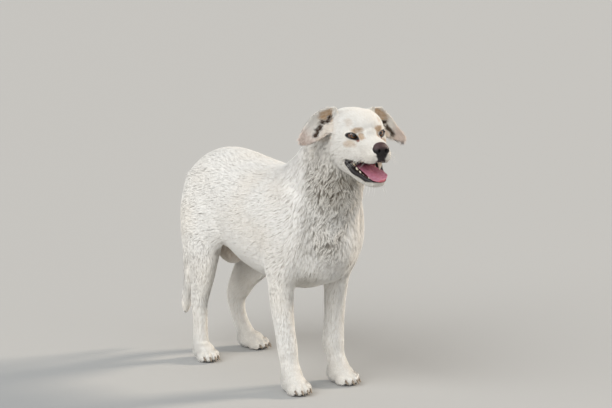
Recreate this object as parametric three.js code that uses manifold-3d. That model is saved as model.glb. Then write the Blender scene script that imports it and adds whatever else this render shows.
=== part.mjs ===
// A medium-large dog standing square with its mouth open, as a still body in named pieces.
// Sizes are millimetres. +Z is up, the dog looks along -Y and its left side is on +X.
// The coated outline is one smooth field of swept and rounded masses. Each piece is the
// surface of that field inside its own region, cut crisply where it meets its neighbours.
import * as THREE from "three";
import { mergeVertices } from "three/addons/utils/BufferGeometryUtils.js";
import Module from "manifold-3d";

const wasm = await Module();
wasm.setup();

const GAP = 0.3; // left free between neighbouring pieces
const REACH = 1600; // side of a block that stands for half of space
const FAR = 400; // field value away from every mass
const UP = new THREE.Vector3(0, 0, 1);

const AXES = [
  [1, 0, 0],
  [0, 1, 0],
  [0, 0, 1],
];

// Cell of the net that draws each piece.
const CELL = {
  trunk: 44,
  neck: 30,
  tail: 25,
  foreleg: 25,
  hind_leg: 28,
  paw: 22,
  head: 15.5,
  nose: 10,
};

const COLOUR = {
  coat: 0xe9e4d8,
  ear: 0xd9c2a8,
  nose: 0x3a2a2a,
  eye: 0x3b2110,
  tongue: 0xc2607a,
  teeth: 0xece2c8,
  claw: 0x8a7f70,
};

const HEAD_AT = new THREE.Vector3(-12, -256, 664); // point between the eyes
const HEAD_YAW = -9; // degrees, the nose a little to the dog's right
const HEAD_ROLL = -1.5;
const EYE = { x: 34, y: 8, z: 0, radius: 12.5, turn: 20 }; // turn: degrees outward of straight ahead
const CREST = 30; // plane from the withers to the breastbone that parts neck from trunk

// ---------------------------------------------------------------- field pieces

function smoothMin(a, b, k) {
  const h = Math.min(Math.max(0.5 + (0.5 * (b - a)) / k, 0), 1);
  return b * (1 - h) + a * h - k * h * (1 - h);
}

// Rows of numbers along a Catmull-Rom line, with `steps` rows for each given one.
function resample(rows, steps) {
  const last = rows.length - 1;
  const at = (i, c) => {
    if (i < 0) return 2 * rows[0][c] - rows[1][c];
    if (i > last) return 2 * rows[last][c] - rows[last - 1][c];
    return rows[i][c];
  };
  const out = [];
  for (let i = 0; i < last; i += 1) {
    for (let j = 0; j < steps; j += 1) {
      const t = j / steps;
      out.push(
        rows[i].map((_, c) => {
          const [p0, p1, p2, p3] = [at(i - 1, c), at(i, c), at(i + 1, c), at(i + 2, c)];
          const bend = 2 * p0 - 5 * p1 + 4 * p2 - p3;
          return 0.5 * (2 * p1 + (p2 - p0) * t + bend * t * t + (3 * p1 - p0 - 3 * p2 + p3) * t ** 3);
        }),
      );
    }
  }
  out.push([...rows[last]]);
  return out;
}

// A body of oval section along a curve. A station is x, y, z, half width, depth to the
// faced side and depth to the other side, and a seventh number bends the section to a gutter.
class Sweep {
  constructor(stations, { facing = [0, 0, 1], power = 2.1, cap = 0.6, steps = 6 } = {}) {
    const rows = resample(stations.map((s) => [...s, s[6] ?? 0].slice(0, 7)), steps);
    const hints = Array.isArray(facing[0]) ? resample(facing, steps) : rows.map(() => facing);
    this.power = power;
    this.cap = cap;
    this.steps = steps;
    this.centre = rows.map((r) => new THREE.Vector3(r[0], r[1], r[2]));
    this.size = rows.map((r) => [Math.max(r[3], 0.5), Math.max(r[4], 0.5), Math.max(r[5], 0.5), r[6]]);
    this.along = this.centre.map((_, i, all) => {
      const before = all[Math.max(i - 1, 0)];
      const after = all[Math.min(i + 1, all.length - 1)];
      return after.clone().sub(before).normalize();
    });
    this.side = this.along.map((t, i) => t.clone().cross(new THREE.Vector3(...hints[i])).normalize());
    this.face = this.side.map((s, i) => s.clone().cross(this.along[i]));
    const most = Math.max(...this.size.map((s) => Math.max(s[0], s[1], s[2])));
    this.bounds = new THREE.Box3().setFromPoints(this.centre).expandByScalar(most);
  }

  distance(x, y, z) {
    let best = Infinity;
    let index = 0;
    let share = 0;
    for (let i = 0; i + 1 < this.centre.length; i += 1) {
      const a = this.centre[i];
      const b = this.centre[i + 1];
      const [dx, dy, dz] = [b.x - a.x, b.y - a.y, b.z - a.z];
      const [wx, wy, wz] = [x - a.x, y - a.y, z - a.z];
      const reach = (wx * dx + wy * dy + wz * dz) / (dx * dx + dy * dy + dz * dz);
      const t = Math.min(Math.max(reach, 0), 1);
      const d = (wx - t * dx) ** 2 + (wy - t * dy) ** 2 + (wz - t * dz) ** 2;
      if (d < best) {
        best = d;
        index = i;
        share = t;
      }
    }
    const mix = (list) => list[index].clone().lerp(list[index + 1], share);
    const size = this.size[index].map((v, c) => v * (1 - share) + this.size[index + 1][c] * share);
    const away = new THREE.Vector3(x, y, z).sub(mix(this.centre));
    const across = away.dot(mix(this.side));
    const out = away.dot(mix(this.face)) - size[3] * across * across;
    const depth = out > 0 ? size[1] : size[2];
    const end = this.cap * Math.min(size[0], depth);
    return ovalDistance([across, out, away.dot(mix(this.along))], [size[0], depth, end], this.power);
  }

  // The same body as a closed solid with `sides` corners round it, `grow` larger all over.
  solid({ sides = 12, every = 3, grow = 0, round = true } = {}) {
    const rings = [];
    const ring = (i, shrink, shift) => {
      const [half, front, back, curl] = this.size[i];
      const points = [];
      for (let j = 0; j < sides; j += 1) {
        const angle = (2 * Math.PI * j) / sides;
        const c = Math.cos(angle);
        const s = Math.sin(angle);
        const depth = (s > 0 ? front : back) + grow;
        const across = (half + grow) * shrink * Math.sign(c) * Math.abs(c) ** (2 / this.power);
        const out = depth * shrink * Math.sign(s) * Math.abs(s) ** (2 / this.power) + curl * across ** 2;
        const point = this.centre[i].clone();
        point.addScaledVector(this.side[i], across);
        point.addScaledVector(this.face[i], out);
        point.addScaledVector(this.along[i], shift);
        points.push(point);
      }
      rings.push(points);
    };
    const last = this.centre.length - 1;
    const end = (i) => this.cap * Math.min(...this.size[i].slice(0, 3)) + grow;
    const tip = (i, way) => this.centre[i].clone().addScaledVector(this.along[i], way * end(i));
    if (round) ring(0, 0.72, -0.7 * end(0));
    for (let i = 0; i < last; i += every) ring(i, 1, 0);
    ring(last, 1, 0);
    if (round) ring(last, 0.72, 0.7 * end(last));
    return closeRings(rings, tip(0, -1), tip(last, 1));
  }
}

class Ball {
  constructor(centre, radii, { yaw = 0, power = 2 } = {}) {
    this.centre = new THREE.Vector3(...centre);
    this.radii = radii;
    this.power = power;
    this.cos = Math.cos(THREE.MathUtils.degToRad(yaw));
    this.sin = Math.sin(THREE.MathUtils.degToRad(yaw));
    const corner = new THREE.Vector3().setScalar(2 * Math.max(...radii));
    this.bounds = new THREE.Box3().setFromCenterAndSize(this.centre, corner);
  }

  distance(x, y, z) {
    const [dx, dy, dz] = [x - this.centre.x, y - this.centre.y, z - this.centre.z];
    const local = [this.cos * dx + this.sin * dy, this.cos * dy - this.sin * dx, dz];
    return ovalDistance(local, this.radii, this.power);
  }
}

// Nearly the distance to an oval of three half sizes, negative inside.
function ovalDistance(point, half, power) {
  let sum = 0;
  let slope = 0;
  for (let i = 0; i < 3; i += 1) {
    const q = Math.abs(point[i]) / half[i];
    sum += q ** power;
    slope += (q ** (power - 1) / half[i]) ** 2;
  }
  const rho = sum ** (1 / power) + 1e-9;
  return (rho - 1) / (Math.sqrt(slope) * rho ** (1 - power) + 1e-9);
}

// True where a point is within `pad` of a box.
function near({ min, max }, pad, x, y, z) {
  const within = (v, low, high) => v > low - pad && v < high + pad;
  return within(x, min.x, max.x) && within(y, min.y, max.y) && within(z, min.z, max.z);
}

// Joins (k > 0) or carves (k < 0) each mass in turn, with |k| the width of the blend.
function shape(masses, x, y, z, start = FAR) {
  let value = start;
  for (const [mass, k] of masses) {
    const pad = Math.max(1.2 * Math.abs(k), 25);
    if (near(mass.bounds, pad, x, y, z)) {
      const d = mass.distance(x, y, z);
      value = k > 0 ? smoothMin(value, d, k) : -smoothMin(-value, d, -k);
    }
  }
  return value;
}

const bothSides = (make) => [-1, 1].flatMap(make);

// ---------------------------------------------------------------- trunk, neck and tail

const trunkMass = new Sweep(
  [
    // y, height of the centre, half width, up, down
    [-98, 404, 70, 76, 92],
    [-82, 401, 88, 100, 110],
    [-46, 396, 99, 134, 132],
    [0, 398, 106, 150, 152],
    [60, 400, 112, 142, 157],
    [130, 404, 117, 136, 155],
    [200, 410, 115, 133, 150],
    [270, 422, 107, 127, 137],
    [340, 436, 97, 120, 116],
    [400, 442, 90, 111, 104],
    [450, 438, 80, 92, 90],
    [490, 424, 60, 66, 70],
  ].map(([y, z, half, up, down]) => [0, y, z, half, up, down]),
  { power: 2.15, cap: 0.7 },
);
const neckMass = new Sweep(
  [
    [0, 70, 440, 88, 84, 70],
    [0, 5, 484, 94, 86, 92],
    [-1, -52, 536, 88, 80, 104],
    [-5, -98, 590, 77, 72, 92],
    [-8, -134, 638, 66, 60, 72],
  ],
  { facing: [0, 0.75, 0.65], cap: 0.7 },
);
const tailMass = new Sweep(
  [
    [0, 462, 462, 36, 42, 42],
    [-2, 514, 450, 35, 38, 38],
    [-6, 548, 414, 31, 30, 32],
    [-12, 561, 364, 28, 26, 28],
    [-18, 558, 300, 26, 23, 25],
    [-23, 550, 240, 24, 22, 24],
    [-27, 546, 187, 21, 20, 22],
    [-29, 556, 145, 18, 17, 19],
    [-30, 566, 112, 15, 14, 16],
    [-29, 572, 88, 7, 7, 8],
  ],
  { facing: [0, -1, 0], cap: 0.8 },
);
const torso = [
  [trunkMass, 1],
  [neckMass, 60],
  [new Ball([5, -113, 522], [57, 50, 86]), 44], // front of the chest
  [new Ball([-78, -44, 424], [32, 54, 80], { power: 2.2 }), 40], // shoulders
  [new Ball([75, -44, 424], [28, 47, 80], { power: 2.2 }), 40],
  [new Ball([12, 398, 312], [44, 58, 70]), 34], // where the thighs meet
  ...bothSides((s) => [
    [new Ball([s * 76, 44, 312], [22, 30, 32]), 26], // elbow
    [new Ball([s * 88, 322, 352], [20, 44, 50]), 34], // flank
  ]),
];

// ---------------------------------------------------------------- legs and paws

const LEG = { facing: [0, -1, 0], cap: 0.5 };

// Each leg from the body down.
const legs = {
  foreleg_right: new Sweep(
    [
      [-54, 62, 480, 32, 64, 58],
      [-76, 6, 400, 38, 74, 62],
      [-82, 4, 330, 37, 64, 50],
      [-81, 12, 275, 32, 44, 38],
      [-81, 10, 215, 28, 34, 31],
      [-79, 0, 155, 25, 28, 26],
      [-77, -10, 105, 25, 27, 26],
      [-76, -17, 70, 23, 24, 22],
      [-76, -28, 42, 26, 27, 23],
    ],
    LEG,
  ),
  foreleg_left: new Sweep(
    [
      [54, 62, 480, 32, 64, 58],
      [76, 6, 400, 38, 74, 62],
      [82, 4, 330, 37, 64, 50],
      [81, 12, 275, 30, 44, 38],
      [81, 16, 215, 27, 32, 30],
      [76, 13, 155, 25.5, 27, 26],
      [71.5, 9, 105, 28, 27, 26],
      [75, 4, 70, 22.5, 24, 22],
      [76, -6, 42, 26, 27, 23],
    ],
    LEG,
  ),
  hind_leg_right: new Sweep(
    [
      [-40, 440, 462, 40, 84, 70],
      [-58, 430, 408, 43, 92, 80],
      [-70, 408, 355, 42, 84, 86],
      [-81, 386, 306, 36, 66, 84],
      [-85, 382, 258, 29, 51, 66],
      [-84, 392, 212, 24, 41, 49],
      [-82, 405, 172, 20.5, 33, 33],
      [-81, 413, 144, 19.5, 30, 27],
      [-81, 408, 108, 18, 24, 23],
      [-82, 405, 74, 18, 23, 22],
      [-83, 402, 42, 20, 22, 21],
    ],
    LEG,
  ),
  hind_leg_left: new Sweep(
    [
      [40, 440, 462, 40, 84, 70],
      [60, 430, 408, 43, 96, 86],
      [74, 406, 352, 42, 96, 96],
      [84, 382, 300, 37, 84, 94],
      [86, 398, 250, 31, 66, 80],
      [78, 432, 205, 26, 49, 60],
      [71, 462, 165, 23, 46, 40],
      [69, 472, 134, 23, 33, 33],
      [70, 468, 100, 20, 25, 26],
      [77, 460, 66, 19, 24, 24],
      [85, 450, 40, 21, 23, 23],
    ],
    LEG,
  ),
};

// Where each paw stands, how far its toes turn to the dog's left in degrees, and its size.
const paws = {
  foreleg_right: { x: -76, y: -36, yaw: -4, scale: 1 },
  foreleg_left: { x: 77, y: -14, yaw: 6, scale: 1 },
  hind_leg_right: { x: -84, y: 386, yaw: -5, scale: 0.95 },
  hind_leg_left: { x: 90, y: 434, yaw: 22, scale: 0.95 },
};
const TOES = [
  // across, ahead, half width
  [-21, -27, 11],
  [-7.7, -37, 11.5],
  [7.7, -37, 11.5],
  [21, -27, 11],
];

function inPaw({ x, y, yaw, scale }, [across, back, up]) {
  const point = new THREE.Vector3(across, back, up).multiplyScalar(scale);
  return point.applyAxisAngle(UP, THREE.MathUtils.degToRad(yaw)).add(new THREE.Vector3(x, y, 0));
}

function pawMasses(paw) {
  const turn = { yaw: paw.yaw, power: 2.2 };
  const sized = (radii) => radii.map((r) => r * paw.scale);
  return [
    [new Ball(inPaw(paw, [0, 0, 23]).toArray(), sized([28, 42, 26]), turn), 10],
    ...TOES.map(([across, ahead, half]) => [
      new Ball(inPaw(paw, [across, ahead, 14.5]).toArray(), sized([half, 21, 16]), turn),
      5,
    ]),
  ];
}

const limbs = Object.fromEntries(
  Object.entries(legs).map(([name, leg]) => [name, [[leg, 1], ...pawMasses(paws[name])]]),
);

// ---------------------------------------------------------------- head, in its own frame

const headTurn = new THREE.Matrix4()
  .makeRotationZ(THREE.MathUtils.degToRad(HEAD_YAW))
  .multiply(new THREE.Matrix4().makeRotationY(THREE.MathUtils.degToRad(HEAD_ROLL)));
const headPlace = headTurn.clone().setPosition(HEAD_AT);
const headInverse = headPlace.clone().invert();

// The rolled edge of the lower lip, from one corner of the mouth round the chin to the other.
// The jaw hangs a little to its right, so the left lip lies further in.
const lipHalf = [
  // out on the right, out on the left, back, up, radius
  [44, 37, 16, -65, 4.5],
  [43, 36, 7, -74, 5.5],
  [37.5, 31.5, -8, -83, 5.5],
  [30.5, 27, -28, -90.5, 5.5],
  [22, 21, -48, -101, 5],
  [12.5, 12.5, -60, -105, 4.5],
];
const lipMass = new Sweep(
  [
    ...lipHalf.map(([right, , back, up, r]) => [-right, back, up, r, r, r]),
    [0, -65, -105, 4, 4, 4],
    ...lipHalf.toReversed().map(([, left, back, up, r]) => [left, back, up, r, r, r]),
  ],
  { facing: [0, 0.3, 1], power: 2, cap: 1, steps: 3 },
);

const headMasses = [
  [
    new Sweep(
      [
        [0, 128, 0, 34, 38, 44],
        [0, 105, 6, 52, 46, 54],
        [0, 70, 6, 61, 49, 58],
        [0, 40, 3, 61, 50, 54],
        [0, 14, -2, 45, 43, 46],
        [0, -5, -10, 28, 29, 36],
      ],
      { power: 2.3 },
    ),
    1,
  ],
  [
    new Sweep(
      [
        [0, 16, -32, 42, 34, 30],
        [0, -18, -32, 38, 31, 30],
        [0, -42, -35, 34, 31.5, 28],
        [0, -61, -37, 28.5, 28, 23],
        [0, -72, -38, 22.5, 24, 16],
      ],
      { power: 2.15, cap: 0.5 },
    ),
    18,
  ],
  ...bothSides((s) => [
    [new Ball([s * 41, 44, -25], [22, 44, 40]), 22],
    [new Ball([s * 28, 8, 14.5], [16, 13, 10]), 10],
    [new Ball([s * 34, 8, 0], [15.5, 15.5, 15.5]), 5],
    [new Ball([s * 25.5, -24, 4], [7, 13, 9]), -9],
    [new Ball([s * 34, -6, -45], [10, 30, 18]), 10],
    [new Ball([s * 16.5, -50, -44], [15, 32, 20]), 12],
  ]),
  [
    new Sweep(
      [
        [0, 66, -56, 48, 34, 36],
        [0, 34, -74, 45, 24, 30],
        [-1, 4, -89, 37, 16, 24],
        [-1.5, -24, -98, 29.5, 12, 22],
        [-1, -48, -106, 23, 9, 15],
        [0, -62, -108, 16.5, 6, 9],
      ],
      { facing: [0, 0.25, 1], power: 2.4 },
    ),
    14,
  ],
  ...bothSides((s) => [[new Ball([s * 36, 44, -58], [20, 34, 30]), 20]]),
  [
    new Sweep(
      [
        [0, 19, -61, 75, 4, 4],
        [0, 9, -66, 75, 9, 7],
        [0, -8, -74, 75, 13, 11],
        [0, -34, -79, 75, 17, 16],
        [0, -62, -83, 75, 22, 21],
        [0, -130, -84, 75, 25, 21],
      ],
      { power: 3, cap: 0.3 },
    ),
    -3,
  ],
  [
    new Sweep(
      [
        [0, 60, -64, 18, 10, 9],
        [0, 24, -70, 24, 16, 18],
        [0, -20, -78, 24, 26, 25],
        [0, -56, -82, 18, 24, 23],
      ],
      { power: 2.4 },
    ),
    -4,
  ],
];

// An ear flap from its root on the skull out to its tip.
function earMass(s, stations) {
  return new Sweep(
    stations.map(([out, ...rest]) => [s * out, ...rest]),
    { facing: stations.map((_, i) => [s * (0.1 + 0.035 * i), -1, 0.28]), power: 2.2, cap: 1 },
  );
}
const ears = {
  // out, back, up, half width, front, back, gutter
  ear_right: earMass(-1, [
    [44, 68, 29, 33, 6, 6, 0.018],
    [60, 73, 27.5, 33, 5.5, 5.5, 0.017],
    [80, 79, 21.5, 31, 5, 5, 0.015],
    [99, 83, 5, 27, 5, 5, 0.013],
    [116, 85, -9, 21, 4.5, 4.5, 0.01],
    [129, 85, -17.5, 15, 4.5, 4.5, 0.006],
    [135, 85, -21, 10.5, 4, 4, 0.004],
  ]),
  ear_left: earMass(1, [
    [32, 60, 29, 30, 6, 6, 0.018],
    [53, 71, 21, 32, 5.5, 5.5, 0.017],
    [76, 79, 9, 29, 5, 5, 0.015],
    [97, 83, -6, 26, 5, 5, 0.013],
    [116, 85, -19, 21, 4.5, 4.5, 0.01],
    [134, 85, -30, 15.5, 4.5, 4.5, 0.006],
    [144, 85, -35, 11, 4, 4, 0.004],
  ]),
};

const noseMasses = [
  [new Ball([0, -75, -27], [20, 12, 16]), 1],
  [new Ball([0, -72, -19], [15, 11, 9]), 5],
  ...bothSides((s) => [[new Ball([s * 11, -77, -29], [9, 9.5, 10]), 5]]),
];

const tongueMass = new Sweep(
  [
    [0, 46, -78, 17, 7, 7],
    [0, 16, -82, 21, 7, 6],
    [0, -16, -89, 22, 6, 5],
    [0, -44, -96, 21, 5, 4.5],
    [0, -62, -97, 18.5, 4.5, 4.5],
    [0, -77, -101, 12, 4, 4],
  ],
  { facing: [0, 0.2, 1], power: 2.3, cap: 1 },
);

function headField(x, y, z) {
  const q = new THREE.Vector3(x, y, z).applyMatrix4(headInverse);
  return shape(headMasses, q.x, q.y, q.z);
}

function bodyField(x, y, z) {
  let value = shape(torso, x, y, z);
  for (const limb of Object.values(limbs)) value = smoothMin(value, shape(limb, x, y, z), 34);
  value = smoothMin(value, shape([[tailMass, 1]], x, y, z), 20);
  return smoothMin(value, headField(x, y, z), 26);
}

// ---------------------------------------------------------------- solids

// A solid from points and triangles, whichever way round the triangles run.
function solidFrom(points, faces) {
  const vertProperties = new Float32Array(points.flatMap((p) => [p.x, p.y, p.z]));
  const build = (list) => {
    const triVerts = new Uint32Array(list.flat());
    return new wasm.Manifold(new wasm.Mesh({ numProp: 3, vertProperties, triVerts }));
  };
  const made = build(faces);
  return made.volume() > 0 ? made : build(faces.map(([a, b, c]) => [a, c, b]));
}

function solidOf(geometry) {
  const bare = geometry.clone();
  bare.deleteAttribute("normal");
  bare.deleteAttribute("uv");
  const merged = mergeVertices(bare, 1e-4);
  const place = merged.attributes.position;
  const pointAt = (_, i) => new THREE.Vector3().fromBufferAttribute(place, i);
  const points = Array.from({ length: place.count }, pointAt);
  const corners = Array.from(merged.index.array);
  const faces = Array.from({ length: corners.length / 3 }, (_, i) => corners.slice(3 * i, 3 * i + 3));
  return solidFrom(points, faces);
}

// Rings of equal count joined in order and closed by a point at each end.
function closeRings(rings, first, last) {
  const sides = rings[0].length;
  const points = [...rings.flat(), first, last];
  const faces = [];
  for (let j = 0; j < sides; j += 1) {
    const k = (j + 1) % sides;
    for (let i = 0; i + 1 < rings.length; i += 1) {
      const [a, b] = [i * sides, (i + 1) * sides];
      faces.push([a + j, b + j, a + k], [a + k, b + j, b + k]);
    }
    const end = (rings.length - 1) * sides;
    faces.push([points.length - 2, j, k], [points.length - 1, end + k, end + j]);
  }
  return solidFrom(points, faces);
}

// Fills cells that touch only across a corner, so that the surface never pinches there.
function fillCorners(values, count, key, depth) {
  let changed = true;
  while (changed) {
    changed = false;
    for (let i = 0; i + 1 < count[0]; i += 1) {
      for (let j = 0; j + 1 < count[1]; j += 1) {
        for (let k = 0; k + 1 < count[2]; k += 1) {
          AXES.forEach((_, axis) => {
            const u = AXES[(axis + 1) % 3];
            const v = AXES[(axis + 2) % 3];
            const ids = [
              key(i, j, k),
              key(i + u[0], j + u[1], k + u[2]),
              key(i + u[0] + v[0], j + u[1] + v[1], k + u[2] + v[2]),
              key(i + v[0], j + v[1], k + v[2]),
            ];
            const [a, b, c, d] = ids.map((id) => values[id] < 0);
            if (a !== c || b !== d || a === b) return;
            const open = (a ? [1, 3] : [0, 2]).map((n) => ids[n]);
            const id = values[open[0]] < values[open[1]] ? open[0] : open[1];
            values[id] = -depth;
            changed = true;
          });
        }
      }
    }
  }
}

// The surface of a field in a box as one vertex for each crossed cell, drawn on to the field.
function netSolid(field, low, high, cell) {
  const count = low.map((l, i) => Math.ceil((high[i] - l) / cell) + 1);
  const at = (axis, i) => low[axis] + i * cell;
  const key = (i, j, k) => (i * count[1] + j) * count[2] + k;
  const values = new Float64Array(count[0] * count[1] * count[2]).fill(1);
  for (let i = 1; i + 1 < count[0]; i += 1) {
    for (let j = 1; j + 1 < count[1]; j += 1) {
      for (let k = 1; k + 1 < count[2]; k += 1) values[key(i, j, k)] = field(at(0, i), at(1, j), at(2, k));
    }
  }
  fillCorners(values, count, key, 0.02 * cell);
  const vertexOf = new Map();
  const points = [];
  const vertex = (i, j, k) => {
    const id = key(i, j, k);
    if (!vertexOf.has(id)) {
      const sum = new THREE.Vector3();
      let crossed = 0;
      for (let corner = 0; corner < 8; corner += 1) {
        const c = [corner & 1, (corner >> 1) & 1, corner >> 2];
        AXES.forEach((step, axis) => {
          if (c[axis]) return;
          const from = values[key(i + c[0], j + c[1], k + c[2])];
          const to = values[key(i + c[0] + step[0], j + c[1] + step[1], k + c[2] + step[2])];
          if (from < 0 === to < 0) return;
          const t = from / (from - to);
          sum.x += at(0, i + c[0] + t * step[0]);
          sum.y += at(1, j + c[1] + t * step[1]);
          sum.z += at(2, k + c[2] + t * step[2]);
          crossed += 1;
        });
      }
      vertexOf.set(id, points.length);
      points.push(drawOn(field, sum.divideScalar(crossed), 0.3 * cell));
    }
    return vertexOf.get(id);
  };
  const faces = [];
  for (let i = 0; i < count[0]; i += 1) {
    for (let j = 0; j < count[1]; j += 1) {
      for (let k = 0; k < count[2]; k += 1) {
        AXES.forEach((step, axis) => {
          const next = [i + step[0], j + step[1], k + step[2]];
          if (next[axis] >= count[axis]) return;
          const inside = values[key(i, j, k)] < 0;
          if (inside === values[key(...next)] < 0) return;
          const u = AXES[(axis + 1) % 3];
          const v = AXES[(axis + 2) % 3];
          const ring = [
            vertex(i - u[0] - v[0], j - u[1] - v[1], k - u[2] - v[2]),
            vertex(i - v[0], j - v[1], k - v[2]),
            vertex(i, j, k),
            vertex(i - u[0], j - u[1], k - u[2]),
          ];
          if (!inside) ring.reverse();
          const [a, b, c, d] = ring;
          const first = points[a].distanceTo(points[c]) < points[b].distanceTo(points[d]);
          if (first) faces.push([a, b, c], [a, c, d]);
          else faces.push([a, b, d], [b, c, d]);
        });
      }
    }
  }
  return solidFrom(points, faces);
}

// Moves a point on to the zero of the field by at most `most`.
function drawOn(field, point, most) {
  const start = point.clone();
  for (let turn = 0; turn < 3; turn += 1) {
    const value = field(point.x, point.y, point.z);
    const slope = new THREE.Vector3(
      field(point.x + 0.5, point.y, point.z) - field(point.x - 0.5, point.y, point.z),
      field(point.x, point.y + 0.5, point.z) - field(point.x, point.y - 0.5, point.z),
      field(point.x, point.y, point.z + 0.5) - field(point.x, point.y, point.z - 0.5),
    );
    if (slope.lengthSq() < 0.01) break;
    point.addScaledVector(slope, -value / slope.lengthSq());
  }
  return start.add(point.sub(start).clampLength(0, most));
}

function block([x0, y0, z0], [x1, y1, z1], grow = 0) {
  const geometry = new THREE.BoxGeometry(x1 - x0 + 2 * grow, y1 - y0 + 2 * grow, z1 - z0 + 2 * grow);
  geometry.translate((x0 + x1) / 2, (y0 + y1) / 2, (z0 + z1) / 2);
  return solidOf(geometry);
}

// All of space on the side of a plane its normal points to, starting `shift` beyond the plane.
function beyond(point, normal, shift = 0) {
  const way = new THREE.Vector3(...normal).normalize();
  const geometry = new THREE.BoxGeometry(REACH, REACH, REACH);
  geometry.translate(0, 0, REACH / 2 + shift);
  geometry.applyQuaternion(new THREE.Quaternion().setFromUnitVectors(UP, way));
  geometry.translate(...point);
  return solidOf(geometry);
}

const inHead = (solid) => solid.transform(headPlace.elements);
const opposite = (normal) => normal.map((v) => -v);

// The largest body of a solid, without the crumbs a cut can leave.
function mainBody(solid) {
  return solid.decompose().reduce((a, b) => (b.volume() > a.volume() ? b : a));
}

function noseField(x, y, z) {
  return shape(noseMasses, x, y, z);
}

// A small round form of three half sizes as a solid.
function oval([x, y, z], radii) {
  const geometry = new THREE.SphereGeometry(1, 7, 5);
  geometry.scale(...radii);
  geometry.translate(x, y, z);
  return solidOf(geometry);
}

// An eyeball with its clear front standing a little proud, looking outward of straight ahead.
function eyeSolid(s) {
  const rings = 8;
  const profile = Array.from({ length: rings + 1 }, (_, i) => {
    const angle = (Math.PI * i) / rings;
    const radius = EYE.radius + 0.9 * Math.exp(-((angle / 0.55) ** 2));
    const off = i % rings === 0 ? 0 : radius * Math.sin(angle);
    return new THREE.Vector2(off, radius * Math.cos(angle));
  });
  const geometry = new THREE.LatheGeometry(profile, 10);
  geometry.rotateX(Math.PI);
  return placeEye(geometry, s, 0);
}

function placeEye(geometry, s, ahead) {
  geometry.translate(0, -ahead, 0);
  geometry.rotateZ(THREE.MathUtils.degToRad(s * EYE.turn));
  geometry.translate(s * EYE.x, EYE.y, EYE.z);
  return solidOf(geometry);
}

// The room of an eyeball and the almond between its lids, the inner corner a little the lower.
function eyeRoom(s) {
  const socket = new THREE.SphereGeometry(EYE.radius + 2.2, 8, 6);
  const almond = new THREE.SphereGeometry(1, 10, 6);
  almond.scale(12.5, 12, 6);
  almond.rotateY(THREE.MathUtils.degToRad(-8 * s));
  return placeEye(socket, s, 0).add(placeEye(almond, s, 12));
}

function nostril(s) {
  return oval([s * 9, -89, -28], [3.6, 8, 4.4]).add(oval([s * 14, -87, -32], [5, 6, 1.6]));
}

// A claw from inside the tip of its toe, curving down to just over the floor.
const CLAW_NET = { sides: 5, every: 1, round: false };

function clawMass(paw, index) {
  const [across, ahead] = TOES[index];
  const stations = [
    [0, -12, 16, 3.2],
    [0, -22, 13, 2.8],
    [0, -29, 6.5, 1.3],
  ].map(([dx, dy, z, r]) => {
    const p = inPaw(paw, [across + dx, ahead + dy, z]);
    return [p.x, p.y, p.z, r * 0.85, r, r];
  });
  return new Sweep(stations, { facing: [0, -0.3, 1], power: 2, cap: 0.5, steps: 1 });
}

// ---------------------------------------------------------------- teeth

// The gum line of half a jaw from the cheek forward to the middle: out, back, up.
// Each tooth is out, back, length, half width, half depth, lean back and lean out at the tip.
const upperTeeth = {
  way: -1,
  arch: [
    [27, 6, -55],
    [24, -18, -55],
    [19, -42, -55],
    [12, -58, -54],
    [0, -64, -53],
  ],
  teeth: [
    [27, 2, 9, 3.4, 6, 0, 1],
    [23, -21, 10, 3.1, 7, 1, 1],
    [17, -50, 19, 3.6, 4.8, 4, 2],
    [8.5, -61, 8, 2.6, 2.8, 0, 0],
    [2.9, -64, 7, 2.5, 2.6, 0, 0],
  ],
};
const lowerTeeth = {
  way: 1,
  arch: [
    [24, 0, -95],
    [21, -22, -102],
    [15, -42, -106],
    [9, -52, -107],
    [0, -55, -107],
  ],
  teeth: [
    [24, -4, 9, 3.2, 6, 0, 1],
    [20.5, -23, 8, 2.8, 6, 0, 1],
    [14, -45, 15, 3.3, 4.2, 1, 4],
    [7.5, -53, 6, 2.3, 2.4, -1, 0],
    [2.6, -55, 5.5, 2.2, 2.3, -1, 0],
  ],
};

// A bar along both halves of a gum line, with its half width and depths up and down.
function gumBar(arch, [wide, up, down], sides) {
  const half = arch.map((point) => [...point, wide, up, down]);
  const other = half.slice(0, -1).map(([out, ...more]) => [-out, ...more]);
  const bar = new Sweep([...other, ...half.reverse()], { power: 2.4, cap: 0.8, steps: 1 });
  return bar.solid({ sides, every: 1, round: false });
}

// The slot between lip and gum that keeps the teeth clear of the flesh.
function toothRoom({ way, arch }) {
  return gumBar(arch, way > 0 ? [6, 20, 5.5] : [6, 5.5, 26], 6);
}

function teethSolid({ way, arch, teeth }) {
  let solid = gumBar(arch, [3.2, 3.6, 3.6], 3);
  for (const s of [-1, 1]) {
    for (const [out, back, length, wide, deep, lean, splay] of teeth) {
      const at = (share, size) => [
        s * (out + splay * share),
        back + lean * share,
        gumLevel(arch, back) + way * length * share,
        wide * size,
        deep * size,
        deep * size,
      ];
      const rows = [at(-0.1, 1), at(0.55, 0.8), at(1, 0.25)];
      const tooth = new Sweep(rows, { facing: [0, 1, 0], power: 2, cap: 0.4, steps: 1 });
      solid = solid.add(tooth.solid({ sides: 3, every: 1, round: false }));
    }
  }
  return solid;
}

// Height of the gum line abreast of a tooth.
function gumLevel(arch, back) {
  const ordered = [...arch].sort((a, b) => a[1] - b[1]);
  const above = ordered.findIndex((p) => p[1] >= back);
  if (above <= 0) return ordered[above < 0 ? ordered.length - 1 : 0][2];
  const [a, b] = [ordered[above - 1], ordered[above]];
  return a[2] + ((b[2] - a[2]) * (back - a[1])) / (b[1] - a[1]);
}

// ---------------------------------------------------------------- where the pieces part

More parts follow.
